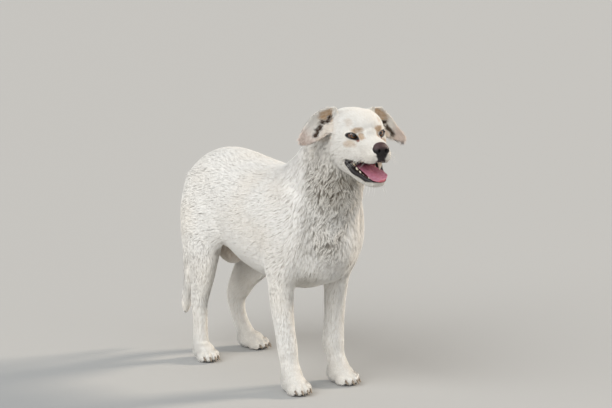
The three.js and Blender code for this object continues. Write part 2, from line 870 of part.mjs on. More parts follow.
const neckPlane = { point: [0, CREST, 550], normal: [0, -0.54, 0.84] };
const headPlane = { point: [0, 96, -10], normal: [0, 0.9, -0.43] }; // in the head's frame
const jawTop = { point: [0, 22, -60], normal: [0, 0.28, -0.96] };
const jawBack = { point: [0, 22, -60], normal: [0, -0.84, -0.54] };
const tailPlane = { point: [0, 528, 0], normal: [0, 1, 0] };
const SOLE = 0; // level of the floor
const WRIST = 50; // height where a paw parts from its leg

// The room of one leg: wide below the body, narrow beside it.
function legRoom(name, grow = 0) {
  const s = name.endsWith("left") ? 1 : -1;
  const hind = name.startsWith("hind");
  const [y0, y1] = hind ? [262, 527] : [-110, 110];
  const [low, top] = hind ? [296, 338] : [238, 300];
  const inner = hind ? 42 : 56;
  const side = (a, b) => (s > 0 ? [a, b] : [-b, -a]);
  const [xa, xb] = side(GAP / 2, 200);
  const [xc, xd] = side(inner, 200);
  const below = block([xa, y0, -20], [xb, y1, low], grow);
  const beside = block([xc, y0, low - 5], [xd, y1, top], grow);
  return below.add(beside);
}

function jawRoom(grow = 0) {
  const top = beyond(jawTop.point, jawTop.normal, -grow);
  return inHead(top.intersect(beyond(jawBack.point, jawBack.normal, -grow)));
}

const part = (solid, { point, normal }) => solid.intersect(beyond(point, normal, GAP / 2));
const rest = (solid, { point, normal }) => solid.intersect(beyond(point, opposite(normal), GAP / 2));

const floor = beyond([0, 0, SOLE], [0, 0, 1]);
const pieces = {};

// Trunk: everything between the neck plane and the tail plane that is not a leg.
let trunk = netSolid(bodyField, [-168, -200, 180], [168, 600, 640], CELL.trunk);
trunk = rest(rest(trunk, neckPlane), tailPlane);
for (const name of Object.keys(legs)) trunk = trunk.subtract(legRoom(name, GAP));
pieces.trunk = mainBody(trunk);

// Neck: from the trunk to the back of the skull and the throat.
const headCut = {
  point: new THREE.Vector3(...headPlane.point).applyMatrix4(headPlace).toArray(),
  normal: new THREE.Vector3(...headPlane.normal).transformDirection(headTurn).toArray(),
};
const neck = netSolid(bodyField, [-150, -300, 360], [150, 120, 740], CELL.neck);
pieces.neck = mainBody(part(part(neck, neckPlane), headCut));

pieces.tail = mainBody(part(netSolid(bodyField, [-90, 500, 60], [70, 620, 520], CELL.tail), tailPlane));

// Legs down to the paws, and the paws with flat soles and four claws each.
for (const name of Object.keys(legs)) {
  const paw = paws[name];
  const hind = name.startsWith("hind");
  const left = paw.x > 0;
  const low = [left ? 0 : -170, hind ? 240 : -130, 20];
  const high = [left ? 170 : 0, hind ? 560 : 130, 370];
  const cell = hind ? CELL.hind_leg : CELL.foreleg;
  const leg = netSolid(bodyField, low, high, cell).intersect(legRoom(name));
  pieces[name] = mainBody(leg.intersect(beyond([0, 0, WRIST], UP.toArray(), GAP / 2)));
  const pawName = name.replace("hind_leg", "hind_paw").replace("foreleg", "fore_paw");
  const footLow = [paw.x - 62, paw.y - 88, -30];
  const footHigh = [paw.x + 62, paw.y + 88, 80];
  const foot = netSolid(bodyField, footLow, footHigh, CELL.paw);
  let cut = foot.intersect(floor).intersect(beyond([0, 0, WRIST], [0, 0, -1], GAP / 2));
  TOES.forEach((_, index) => {
    const claw = clawMass(paw, index);
    cut = cut.subtract(claw.solid({ ...CLAW_NET, grow: GAP }));
    pieces[pawName.replace("paw", "claw") + "_" + (index + 1)] = claw.solid(CLAW_NET);
  });
  pieces[pawName] = mainBody(cut);
}

// Head and lower jaw, parted through the open mouth and behind its corners.
const headBox = [
  [-112, -366, 520],
  [88, -90, 742],
];
const skull = rest(netSolid(bodyField, headBox[0], headBox[1], CELL.head), headCut);
let head = skull.subtract(jawRoom(GAP));
let jaw = mainBody(skull.intersect(jawRoom()));

for (const [name, mass] of Object.entries(ears)) {
  head = head.subtract(inHead(mass.solid({ sides: 12, every: 6, grow: GAP })));
  pieces[name] = inHead(mass.solid({ sides: 12, every: 6 }));
}
for (const [name, s] of [
  ["eye_right", -1],
  ["eye_left", 1],
]) {
  head = head.subtract(inHead(eyeRoom(s)));
  pieces[name] = inHead(eyeSolid(s));
}
const nose = netSolid(noseField, [-32, -98, -56], [32, -50, 4], CELL.nose);
const noseMiddle = noseMasses[0][0].centre;
const noseHole = nose
  .translate(noseMiddle.clone().negate().toArray())
  .scale(1.03)
  .translate(noseMiddle.toArray());
head = head.subtract(inHead(noseHole));
pieces.nose = inHead(bothSides((s) => [nostril(s)]).reduce((a, b) => a.subtract(b), nose));

const lip = inHead(lipMass.solid({ sides: 6, every: 3, round: false }));
head = head.subtract(inHead(toothRoom(upperTeeth)));
jaw = jaw.add(lip.intersect(jawRoom()));
jaw = jaw.subtract(inHead(toothRoom(lowerTeeth)));
jaw = jaw.subtract(inHead(tongueMass.solid({ sides: 10, every: 6, grow: GAP })));
head = head.subtract(inHead(tongueMass.solid({ sides: 10, every: 6, grow: GAP })));
pieces.upper_teeth = inHead(teethSolid(upperTeeth));
pieces.lower_teeth = inHead(teethSolid(lowerTeeth));
pieces.tongue = inHead(mainBody(tongueMass.solid({ sides: 10, every: 6 }).subtract(toothRoom(lowerTeeth))));
pieces.head = mainBody(head);
pieces.lower_jaw = mainBody(jaw);

// ---------------------------------------------------------------- the part

function finishOf(name) {
  if (name.startsWith("eye")) return { color: COLOUR.eye, roughness: 0.1, metalness: 0 };
  if (name.startsWith("ear")) return { color: COLOUR.ear, roughness: 0.85, metalness: 0 };
  if (name === "nose") return { color: COLOUR.nose, roughness: 0.45, metalness: 0 };
  if (name === "tongue") return { color: COLOUR.tongue, roughness: 0.4, metalness: 0 };
  if (name.endsWith("teeth")) return { color: COLOUR.teeth, roughness: 0.3, metalness: 0 };
  if (name.includes("claw")) return { color: COLOUR.claw, roughness: 0.5, metalness: 0 };
  return { color: COLOUR.coat, roughness: 0.9, metalness: 0 };
}

// The origin is under the middle of the whole body, at the level of the soles.
const extent = new THREE.Box3();
for (const solid of Object.values(pieces)) {
  const { min, max } = solid.boundingBox();
  extent.union(new THREE.Box3(new THREE.Vector3(...min), new THREE.Vector3(...max)));
}
const middle = extent.getCenter(new THREE.Vector3()).setZ(extent.min.z);

const dog = new THREE.Group();
dog.name = "dog";
for (const [name, solid] of Object.entries(pieces)) {
  const { vertProperties, triVerts } = solid.translate(middle.clone().negate().toArray()).getMesh();
  const geometry = new THREE.BufferGeometry();
  geometry.setAttribute("position", new THREE.BufferAttribute(vertProperties, 3));
  geometry.setIndex(new THREE.BufferAttribute(triVerts, 1));
  geometry.computeVertexNormals();
  const mesh = new THREE.Mesh(geometry, new THREE.MeshStandardMaterial(finishOf(name)));
  mesh.name = name;
  dog.add(mesh);
}

export default dog;
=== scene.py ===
"""A pale dog that stands on four feet with its mouth open, as a still display model.

The shape code works in millimetres in the dog's own frame: the origin is on the floor
under the withers, +Z is up, the dog looks along -Y and its left side is on +X. Meshes
go into the part's frame, in metres, as they are made. One field of swept and rounded
masses gives the outline of the coat. The skin is the same field less the coat's depth,
and the coat is solid mesh tufts that rise from the skin to the outline.
"""

import logging
import math
from dataclasses import dataclass, field
from enum import Enum
from typing import Callable, Sequence, Union

import bpy
import numpy as np
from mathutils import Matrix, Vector
from mathutils.kdtree import KDTree


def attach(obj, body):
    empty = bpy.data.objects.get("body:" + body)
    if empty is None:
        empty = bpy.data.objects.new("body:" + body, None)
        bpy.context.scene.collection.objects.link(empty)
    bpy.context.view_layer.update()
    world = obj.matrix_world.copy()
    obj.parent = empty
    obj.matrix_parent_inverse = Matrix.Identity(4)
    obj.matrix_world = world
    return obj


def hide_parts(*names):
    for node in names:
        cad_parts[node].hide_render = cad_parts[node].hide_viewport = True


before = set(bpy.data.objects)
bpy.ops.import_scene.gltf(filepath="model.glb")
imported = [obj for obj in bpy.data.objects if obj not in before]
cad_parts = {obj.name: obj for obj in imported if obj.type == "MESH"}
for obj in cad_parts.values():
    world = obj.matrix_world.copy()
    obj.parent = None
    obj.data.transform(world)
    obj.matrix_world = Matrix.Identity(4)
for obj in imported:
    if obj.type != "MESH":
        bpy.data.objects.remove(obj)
log = logging.getLogger("dog")

Array = np.ndarray
Colour = tuple[float, float, float]
Field = Callable[[Array], Array]
Material = bpy.types.Material
Number = Union["Wire", float]

MM = 0.001
FLOOR_POINT = np.array([6.596651, 122.07918, 0.0])  # origin of the part in the dog's frame
FAR = 400.0  # field value away from every mass
REACH = 25.0  # least distance at which a mass is still felt
THINNEST = 0.5  # least half size of a swept mass
BODY = "root"


# ---------------- small maths


def smooth_min(a: Array, b: Array, k: float) -> Array:
    """Blends the lower of two fields over a width.

    Args:
        a: First field.
        b: Second field.
        k: Width of the blend.

    Returns:
        The blended field.
    """
    h = np.clip(0.5 + 0.5 * (b - a) / k, 0.0, 1.0)
    return b * (1 - h) + a * h - k * h * (1 - h)


def ease(value: Array, low: float, high: float) -> Array:
    """Rises smoothly from 0 at `low` to 1 at `high`, or falls where low is the greater."""
    t = np.clip((value - low) / (high - low), 0.0, 1.0)
    return t * t * (3 - 2 * t)


def unit(vectors: Array) -> Array:
    """Scales each row to length one."""
    return vectors / (np.linalg.norm(vectors, axis=-1, keepdims=True) + 1e-9)


def dot(a: Array, b: Array) -> Array:
    """Gives the dot product of each pair of rows."""
    return (a * b).sum(axis=-1)


def turn_z(degrees: float) -> Array:
    """Gives the matrix of a turn about the upright axis."""
    c, s = math.cos(math.radians(degrees)), math.sin(math.radians(degrees))
    return np.array([[c, -s, 0.0], [s, c, 0.0], [0.0, 0.0, 1.0]])


def turn_y(degrees: float) -> Array:
    """Gives the matrix of a turn about the front-to-back axis."""
    c, s = math.cos(math.radians(degrees)), math.sin(math.radians(degrees))
    return np.array([[c, 0.0, s], [0.0, 1.0, 0.0], [-s, 0.0, c]])


def resample(rows: Sequence[Sequence[float]], steps: int) -> Array:
    """Runs a Catmull-Rom line through rows of numbers.

    Args:
        rows: The rows that the line passes through.
        steps: New rows for each given one.

    Returns:
        The finer rows, the first and last as given.
    """
    given = np.array(rows, float)
    ends = np.vstack([2 * given[0] - given[1], given, 2 * given[-1] - given[-2]])
    out = []
    for i in range(1, len(ends) - 2):
        p0, p1, p2, p3 = ends[i - 1 : i + 3]
        for t in np.arange(steps) / steps:
            second, third = 2 * p0 - 5 * p1 + 4 * p2 - p3, 3 * p1 - p0 - 3 * p2 + p3
            out.append(0.5 * (2 * p1 + (p2 - p0) * t + second * t**2 + third * t**3))
    out.append(given[-1])
    return np.array(out)


def bend(value: Array, power: float) -> Array:
    """Raises the size of each number to a power and keeps its sign."""
    return np.sign(value) * np.abs(value) ** power


def circle(count: int) -> Array:
    """Gives evenly spaced angles round a circle."""
    return 2 * np.pi * np.arange(count) / count


def both_sides(make: Callable[[int], list]) -> list:
    """Joins what a function makes for the dog's right (-1) and left (+1)."""
    return make(-1) + make(1)


@dataclass
class Ripple:
    """A smooth random field made of a few plane waves."""

    wavelength: float
    seed: int
    count: int = 9

    def __post_init__(self) -> None:
        """Draws the waves."""
        rng = np.random.default_rng(self.seed)
        size = 2 * math.pi / (self.wavelength * rng.uniform(0.6, 1.6, self.count))
        self.waves = unit(rng.normal(size=(self.count, 3))) * size[:, None]
        self.phases = rng.uniform(0, 2 * math.pi, self.count)

    def at(self, points: Array) -> Array:
        """Gives the field, mostly within -1 and 1."""
        return np.sin(points @ self.waves.T + self.phases).sum(axis=1) / math.sqrt(self.count)


# ---------------- masses


def oval_distance(local: Array, half: Array, power: float) -> Array:
    """Gives nearly the distance to an oval, negative inside.

    Args:
        local: Points from the oval's middle.
        half: The oval's three half sizes, one row or a row for each point.
        power: How square the oval is, 2 for an ellipsoid.

    Returns:
        One distance for each point.
    """
    q = np.abs(local) / half
    rho = (q**power).sum(axis=1) ** (1 / power) + 1e-9
    slope = np.sqrt(((q ** (power - 1) / half) ** 2).sum(axis=1)) * rho ** (1 - power)
    return (rho - 1) / (slope + 1e-9)


@dataclass
class Place:
    """Where points lie beside a swept mass."""

    index: Array
    share: Array
    across: Array
    out: Array
    beyond: Array
    size: Array

    @property
    def station(self) -> Array:
        """Gives the place along the mass in resampled rows."""
        return self.index + self.share

    @property
    def angle(self) -> Array:
        """Gives the angle round the mass, 0 on its first side."""
        return np.arctan2(self.out, self.across)


class Sweep:
    """A body of oval section along a curve.

    A station is x, y, z, half width, depth to the faced side and depth to the other
    side, and a seventh number bends the section to a gutter.
    """

    def __init__(
        self,
        stations: Sequence[Sequence[float]],
        facing: Sequence = (0.0, 0.0, 1.0),
        power: float = 2.1,
        cap: float = 0.6,
        steps: int = 6,
    ) -> None:
        """Resamples the stations and frames each one.

        Args:
            stations: The stations along the curve.
            facing: The faced side, once or for each station.
            power: How square the section is.
            cap: Length of the rounded ends as a share of their size.
            steps: New rows for each station.
        """
        rows = resample([(*s, 0.0)[:7] for s in stations], steps)
        hints = np.array(facing, float)
        if hints.ndim == 2:
            hints = resample(hints, steps)
        self.power, self.cap = power, cap
        self.centre = rows[:, :3]
        self.size = np.maximum(rows[:, 3:6], THINNEST)
        self.curl = rows[:, 6]
        self.along = unit(np.gradient(self.centre, axis=0))
        self.side = unit(np.cross(self.along, np.broadcast_to(hints, self.along.shape)))
        self.face = np.cross(self.side, self.along)
        most = self.size.max()
        self.low = self.centre.min(axis=0) - most
        self.high = self.centre.max(axis=0) + most

    def place(self, points: Array) -> Place:
        """Finds the nearest place along the curve for each point.

        Args:
            points: Points beside the mass.

        Returns:
            The place beside which each point lies.
        """
        c = self.centre
        spread = (c**2).sum(axis=1) - 2 * points @ c.T
        near = spread.argmin(axis=1)
        best = np.full(len(points), np.inf)
        index = np.zeros(len(points), int)
        share = np.zeros(len(points))
        for start in (near - 1, near):
            i = np.clip(start, 0, len(c) - 2)
            step = c[i + 1] - c[i]
            t = np.clip(dot(points - c[i], step) / dot(step, step), 0.0, 1.0)
            d = ((points - c[i] - t[:, None] * step) ** 2).sum(axis=1)
            closer = d < best
            best[closer], index[closer], share[closer] = d[closer], i[closer], t[closer]

        def mix(rows: Array) -> Array:
            """Gives the rows at the found places.

            Args:
                rows: One row for each station.

            Returns:
                One row for each point.
            """
            t = share if rows.ndim == 1 else share[:, None]
            return rows[index] * (1 - t) + rows[index + 1] * t

        away = points - mix(c)
        across = dot(away, mix(self.side))
        out = dot(away, mix(self.face)) - mix(self.curl) * across**2
        return Place(index, share, across, out, dot(away, mix(self.along)), mix(self.size))

    def distance(self, points: Array) -> Array:
        """Gives nearly the distance to the surface, negative inside.

        Args:
            points: Points beside the mass.

        Returns:
            One distance for each point.
        """
        at = self.place(points)
        depth = np.where(at.out > 0, at.size[:, 1], at.size[:, 2])
        end = self.cap * np.minimum(at.size[:, 0], depth)
        local = np.stack([at.across, at.out, at.beyond], axis=1)
        return oval_distance(local, np.stack([at.size[:, 0], depth, end], axis=1), self.power)

    def heading(self, points: Array) -> Array:
        """Gives the curve's direction beside each point."""
        return self.along[self.place(points).index]

    def rings(self, sides: int, shares: Sequence[float] = ()) -> Array:
        """Gives the surface as rings of points.

        Args:
            sides: Points in each ring.
            shares: Sizes of the closing rings at both ends, the smallest last.

        Returns:
            An array of rings by points by three.
        """
        c, s = np.cos(circle(sides)), np.sin(circle(sides))
        last = len(self.centre) - 1
        rows = [(i, 1.0, 0.0) for i in range(last + 1)]
        for share in shares:
            rise = math.sqrt(max(1 - share**2, 0.0)) * self.cap
            rows.insert(0, (0, share, -rise * self.size[0].min()))
            rows.append((last, share, rise * self.size[last].min()))
        out = []
        for i, share, shift in rows:
            depth = np.where(s > 0, self.size[i, 1], self.size[i, 2])
            across = self.size[i, 0] * share * bend(c, 2 / self.power)
            lift = depth * share * bend(s, 2 / self.power) + self.curl[i] * across**2
            ring = self.centre[i] + self.along[i] * shift
            out.append(ring + across[:, None] * self.side[i] + lift[:, None] * self.face[i])
        return np.array(out)


class Ball:
    """A rounded mass of three half sizes, turned about the upright axis."""

    def __init__(
        self, centre: Sequence[float], radii: Sequence[float], yaw: float = 0.0, power: float = 2.0
    ) -> None:
        """Keeps the sizes and the turn.

        Args:
            centre: Its middle.
            radii: Its three half sizes.
            yaw: Its turn in degrees.
            power: How square it is.
        """
        self.centre = np.array(centre, float)
        self.radii = np.array(radii, float)
        self.turn = turn_z(yaw)
        self.power = power
        self.low = self.centre - self.radii.max()
        self.high = self.centre + self.radii.max()

    def distance(self, points: Array) -> Array:
        """Gives nearly the distance to the surface, negative inside."""
        return oval_distance((points - self.centre) @ self.turn, self.radii, self.power)


Mass = Sweep | Ball
Blend = tuple[Mass, float]


def shape(blends: Sequence[Blend], points: Array) -> Array:
    """Joins (width above 0) or carves (width below 0) each mass in turn.

    Args:
        blends: Each mass with the width of its blend.
        points: Points in the masses' frame.

    Returns:
        The field at each point.
    """
    value = np.full(len(points), FAR)
    for mass, k in blends:
        pad = max(1.2 * abs(k), REACH)
        near = np.all((points > mass.low - pad) & (points < mass.high + pad), axis=1)
        if near.any():
            d = mass.distance(points[near])
            old = value[near]
            value[near] = smooth_min(old, d, k) if k > 0 else -smooth_min(-old, d, -k)
    return value


# ---------------- the dog's shape


class Region(Enum):
    """A part of the coat with hair of its own."""

    TRUNK = "trunk"
    LEG = "leg"
    PAW = "paw"
    TAIL = "tail"
    RUFF = "ruff"
    CROWN = "crown"
    FACE = "face"
    EAR = "ear"


@dataclass(frozen=True)
class Growth:
    """How the hair of one region grows, in millimetres."""

    depth: float  # of the coat over the skin
    length: float
    width: float
    spacing: float  # between roots
    clump: float = 0.15  # share of the way that tips gather to the middle of their lock
    lock: float = 9.0  # between the middles of locks
    wave: float = 0.15  # swing of the lie in radians

    def numbers(self) -> list[float]:
        """Gives the values in the order of their names."""
        return [self.depth, self.length, self.width, self.spacing, self.clump, self.lock, self.wave]


GROWTH = {
    Region.TRUNK: Growth(6.5, 30, 1.6, 3.2, clump=0.05, lock=12, wave=0.05),
    Region.LEG: Growth(3.4, 16, 1.35, 2.75, clump=0.05, lock=9, wave=0.04),
    Region.PAW: Growth(1.8, 8, 1.2, 2.3, clump=0.1, lock=6, wave=0.08),
    Region.TAIL: Growth(8.5, 40, 1.8, 2.9, clump=0.2, lock=13, wave=0.08),
    Region.RUFF: Growth(9.5, 15, 1.15, 2.05, clump=0.5, lock=5.0, wave=0.55),
    Region.CROWN: Growth(3.4, 13, 1.2, 2.35, clump=0.15, lock=8, wave=0.12),
    Region.FACE: Growth(1.9, 8, 0.95, 1.95, clump=0.1, lock=5, wave=0.1),
    Region.EAR: Growth(1.3, 11, 1.1, 2.1, clump=0.2, lock=6, wave=0.15),
}

# Each ear from its root to its tip: out, back, up, half width, depth in front and behind, curl.
EAR_RIGHT = (
    (44, 68, 29, 33, 6, 6, 0.018),
    (60, 73, 27.5, 33, 5.5, 5.5, 0.017),
    (80, 79, 21.5, 31, 5, 5, 0.015),
    (99, 83, 5, 27, 5, 5, 0.013),
    (116, 85, -9, 21, 4.5, 4.5, 0.01),
    (129, 85, -17.5, 15, 4.5, 4.5, 0.006),
    (135, 85, -21, 10.5, 4, 4, 0.004),
)
EAR_LEFT = (
    (32, 60, 29, 30, 6, 6, 0.018),
    (53, 71, 21, 32, 5.5, 5.5, 0.017),
    (76, 79, 9, 29, 5, 5, 0.015),
    (97, 83, -6, 26, 5, 5, 0.013),
    (116, 85, -19, 21, 4.5, 4.5, 0.01),
    (134, 85, -30, 15.5, 4.5, 4.5, 0.006),
    (144, 85, -35, 11, 4, 4, 0.004),
)


@dataclass
class Head:
    """The head and its masses, in a frame whose origin is between the eyes."""

    at: Sequence[float] = (-12.0, -256.0, 664.0)
    yaw: float = -9.0
    roll: float = -1.5
    eye: Sequence[float] = (34.0, 8.0, 0.0)
    eye_radius: float = 12.5
    eye_turn: float = 20.0  # degrees outward of straight ahead
    eye_tilt: float = 0.22  # fall of the opening toward the nose
    opening: Sequence[float] = (12.6, 15.6, 9.4, 4.8)  # reach to the nose, outward, up and down
    drop: float = 3.2  # how far below the eye's middle the corners lie
    corner: float = 7.0  # how far ahead of the eye's middle the corners of the opening lie
    lid_power: float = 1.7  # how square the opening is
    lid_reach: float = 34.0  # how far from an eye its opening is looked for

    def __post_init__(self) -> None:
        """Builds the masses."""
        self.turn = turn_z(self.yaw) @ turn_y(self.roll)
        self.mouth = Sweep(
            [
                (0, 19, -61, 75, 4, 4),
                (0, 9, -66, 75, 9, 7),
                (0, -8, -74, 75, 13, 11),
                (0, -34, -79, 75, 17, 16),
                (0, -62, -83, 75, 22, 21),
                (0, -130, -84, 75, 25, 21),
            ],
            power=3.0,
            cap=0.3,
        )
        self.throat = Sweep(
            [
                (0, 60, -64, 18, 10, 9),
                (0, 24, -70, 24, 16, 18),
                (0, -20, -78, 24, 26, 25),
                (0, -56, -82, 18, 24, 23),
            ],
            power=2.4,
        )
        self.lips = [self.lip(s) for s in (-1, 1)]
        self.ears = {"ear_right": self.ear(-1, EAR_RIGHT), "ear_left": self.ear(1, EAR_LEFT)}
        self.nose = [
            (Ball([0, -75, -27], [20, 12, 16]), 1.0),
            (Ball([0, -72, -19], [15, 11, 9]), 5.0),
            *both_sides(lambda s: [(Ball([s * 11, -77, -29], [9, 9.5, 10]), 5.0)]),
        ]
        self.closed = self.skull() + self.jaw()
        self.blends = self.closed + [(self.mouth, -3.0), (self.throat, -4.0)]
        self.blends += [(lip, 4.0) for lip in self.lips] + [(ear, 8.0) for ear in self.ears.values()]

    def local(self, points: Array) -> Array:
        """Takes points of the dog's frame into the head's frame."""
        return (points - np.array(self.at)) @ self.turn

    def world(self, points: Array) -> Array:
        """Takes points of the head's frame into the dog's frame."""
        return points @ self.turn.T + np.array(self.at)

    def eye_frame(self, q: Array, s: int) -> Array:
        """Gives how far points lie toward the nose, ahead and above in one eye's frame.

        Args:
            q: Points in the head's frame.
            s: -1 for the dog's right and 1 for its left.

        Returns:
            Three numbers for each point.
        """
        e = (q - np.array(self.eye) * [s, 1, 1]) @ turn_z(s * self.eye_turn)
        toward = -s * e[:, 0]
        return np.stack([toward, -e[:, 1], e[:, 2] + self.eye_tilt * toward + self.drop], axis=1)

    def from_lids(self, q: Array) -> Array:
        """Gives the distance round the nearer eye from its opening, large elsewhere.

        Args:
            q: Points in the head's frame.

        Returns:
            One distance for each point, negative in the opening.
        """
        best = np.full(len(q), FAR)
        inner, outer, above, below = self.opening
        for s in (-1, 1):
            e = self.eye_frame(q, s)
            near = (np.abs(e).max(axis=1) < self.lid_reach) & (e[:, 1] > -4)
            e = e[near]
            wide, high = np.where(e[:, 0] > 0, inner, outer), np.where(e[:, 2] > 0, above, below)
            away = oval_distance(e[:, [0, 2]], np.stack([wide, high], axis=1), self.lid_power)
            best[near] = np.minimum(best[near], away)
        return best

    def sight(self, toward: Array, up: Array, radius: float) -> Array:
        """Gives how far ahead of an eye's middle its front lies, level at the corners."""
        return np.maximum(np.sqrt(np.maximum(radius**2 - toward**2 - up**2, 0.0)), self.corner)

    def skull(self) -> list[Blend]:
        """Gives the skull, muzzle, brows, cheeks and upper lips.

        Returns:
            The masses with the widths of their blends.
        """
        skull = [
            (0, 128, 0, 34, 38, 44),
            (0, 105, 6, 52, 46, 54),
            (0, 70, 6, 61, 49, 58),
            (0, 40, 3, 61, 50, 54),
            (0, 14, -2, 45, 43, 46),
            (0, -5, -10, 28, 29, 36),
        ]
        muzzle = [
            (0, 16, -32, 42, 34, 30),
            (0, -18, -32, 38, 31, 30),
            (0, -42, -35, 34, 31.5, 28),
            (0, -61, -37, 28.5, 28, 23),
            (0, -72, -38, 22.5, 24, 16),
        ]
        x, y, z = self.eye
        return [
            (Sweep(skull, power=2.3), 1.0),
            (Sweep(muzzle, power=2.15, cap=0.5), 18.0),
            *both_sides(
                lambda s: [
                    (Ball([s * 41, 44, -25], [22, 44, 40]), 22.0),
                    (Ball([s * 28, 8, 14.5], [16, 13, 10]), 10.0),
                    (Ball([s * x, y, z], [15.5] * 3), 5.0),
                    (Ball([s * 25.5, -24, 4], [7, 13, 9]), -9.0),
                    (Ball([s * 34, -6, -45], [10, 30, 18]), 10.0),
                    (Ball([s * 16.5, -50, -44], [15, 32, 20]), 12.0),
                    (self.crease(s, ((50, 24, -38), (53, 21, -50), (50, 25, -62))), -4.0),
                    (self.crease(s, ((52, -2, -13), (42, -17, -16), (33, -26, -13))), -5.0),
                ]
            ),
        ]

    @staticmethod
    def crease(s: int, line: Sequence[tuple[float, float, float]]) -> Sweep:
        """Gives a thin body along a line on one side, to press a soft crease with."""
        return Sweep([(s * x, y, z, 2.5, 2.5, 2.5) for x, y, z in line], facing=(0.3, 0.2, 1), steps=3)

    def jaw(self) -> list[Blend]:
        """Gives the lower jaw and the muscles at its corners.

        Returns:
            The masses with the widths of their blends.
        """
        jaw = [
            (0, 66, -56, 48, 34, 36),
            (0, 34, -74, 45, 24, 30),
            (-1, 4, -89, 37, 16, 24),
            (-1.5, -24, -98, 29.5, 12, 22),
            (-1, -48, -106, 23, 9, 15),
            (0, -62, -108, 16.5, 6, 9),
        ]
        corners = both_sides(lambda s: [(Ball([s * 36, 44, -58], [20, 34, 30]), 20.0)])
        return [(Sweep(jaw, facing=(0, 0.25, 1), power=2.4), 14.0), *corners]

    def lip(self, s: int) -> Sweep:
        """Gives the rolled edge of the lower lip on one side.

        Args:
            s: -1 for the dog's right and 1 for its left.

        Returns:
            The lip as a swept mass.
        """
        stations = [
            (44, 16, -65, 4.5),
            (43, 7, -74, 5.5),
            (38, -8, -86, 5.5),
            (30.5, -28, -92.5, 5),
            (22, -48, -101, 4.6),
            (12.5, -60, -105, 4.3),
            (0, -65, -105.5, 4),
        ]
        inward = 7 * (s > 0)  # the jaw hangs a little to its right
        rows = [(s * (out - inward * ease(back, -62, 0)), back, up, r, r, r) for out, back, up, r in stations]
        return Sweep(rows, facing=(0, 0.3, 1), power=2.0, cap=1.0)

    @staticmethod
    def ear(s: int, stations: Sequence[Sequence[float]]) -> Sweep:
        """Gives an ear flap from its root on the skull to its tip.

        Args:
            s: -1 for the dog's right and 1 for its left.
            stations: Its stations, outward on its own side.

        Returns:
            The flap as a swept mass.
        """
        rows = [(s * out, *rest) for out, *rest in stations]
        facing = [(s * (0.1 + 0.035 * i), -1, 0.28) for i in range(len(rows))]
        return Sweep(rows, facing=facing, power=2.2, cap=1.0)

    def field(self, points: Array) -> Array:
        """Gives the head's field at points of the dog's frame."""
        return shape(self.blends, self.local(points))


@dataclass(frozen=True)
class Paw:
    """Where a paw stands, how far its toes turn to the dog's left, and its size."""

    x: float
    y: float
    yaw: float
    scale: float = 1.0

    def point(self, across: float, back: float, up: float) -> Array:
        """Takes a point of the paw's frame into the dog's frame."""
        sized = np.array([across, back, up]) * self.scale
        return turn_z(self.yaw) @ sized + np.array([self.x, self.y, 0.0])

    def masses(self) -> list[Blend]:
        """Gives the palm and the toes.

        Returns:
            The masses with the widths of their blends.
        """
        sized = lambda *radii: [r * self.scale for r in radii]
        palm = Ball(self.point(0, 0, 23), sized(28, 42, 26), self.yaw, 2.2)
        toes = [
            (Ball(self.point(across, ahead, 14.5), sized(half, 21, 16), self.yaw, 2.2), 5.0)
            for across, ahead, half in TOES
        ]
        return [(palm, 10.0), *toes]


TOES = [(-21, -27, 11), (-7.7, -37, 11.5), (7.7, -37, 11.5), (21, -27, 11)]  # across, ahead, half width

# Each leg from the body down: x, y, z, half width, depth to the front and depth to the back.
LEGS = {
    "fore_right": (
        (-54, 62, 480, 32, 64, 58),
        (-76, 6, 400, 38, 74, 62),
        (-82, 4, 330, 37, 64, 50),
        (-81, 12, 275, 32, 44, 38),
        (-81, 10, 215, 28, 34, 31),
        (-79, 0, 155, 25, 28, 26),
        (-77, -10, 105, 25, 27, 26),
        (-76, -17, 70, 23, 24, 22),
        (-76, -28, 42, 26, 27, 23),
    ),
    "fore_left": (
        (54, 62, 480, 32, 64, 58),
        (76, 6, 400, 38, 74, 62),
        (82, 4, 330, 37, 64, 50),
        (81, 12, 275, 30, 44, 38),
        (81, 16, 215, 27, 32, 30),
        (76, 13, 155, 25.5, 27, 26),
        (71.5, 9, 105, 28, 27, 26),
        (75, 4, 70, 22.5, 24, 22),
        (76, -6, 42, 26, 27, 23),
    ),
    "hind_right": (
        (-40, 440, 462, 40, 84, 70),
        (-58, 430, 408, 43, 92, 80),
        (-70, 408, 355, 42, 84, 86),
        (-81, 386, 306, 36, 66, 84),
        (-85, 382, 258, 29, 51, 66),
        (-84, 392, 212, 24, 41, 49),
        (-82, 405, 172, 20.5, 33, 33),
        (-81, 413, 144, 19.5, 30, 27),
        (-81, 408, 108, 18, 24, 23),
        (-82, 405, 74, 18, 23, 22),
        (-83, 402, 42, 20, 22, 21),
    ),
    "hind_left": (
        (40, 440, 462, 40, 84, 70),
        (60, 430, 408, 43, 96, 86),
        (74, 406, 352, 42, 96, 96),
        (84, 382, 300, 37, 84, 94),
        (86, 398, 250, 31, 66, 80),
        (78, 432, 205, 26, 49, 60),
        (71, 462, 165, 23, 46, 40),
        (69, 472, 134, 23, 33, 33),
        (70, 468, 100, 20, 25, 26),
        (77, 460, 66, 19, 24, 24),
        (85, 450, 40, 21, 23, 23),
    ),
}


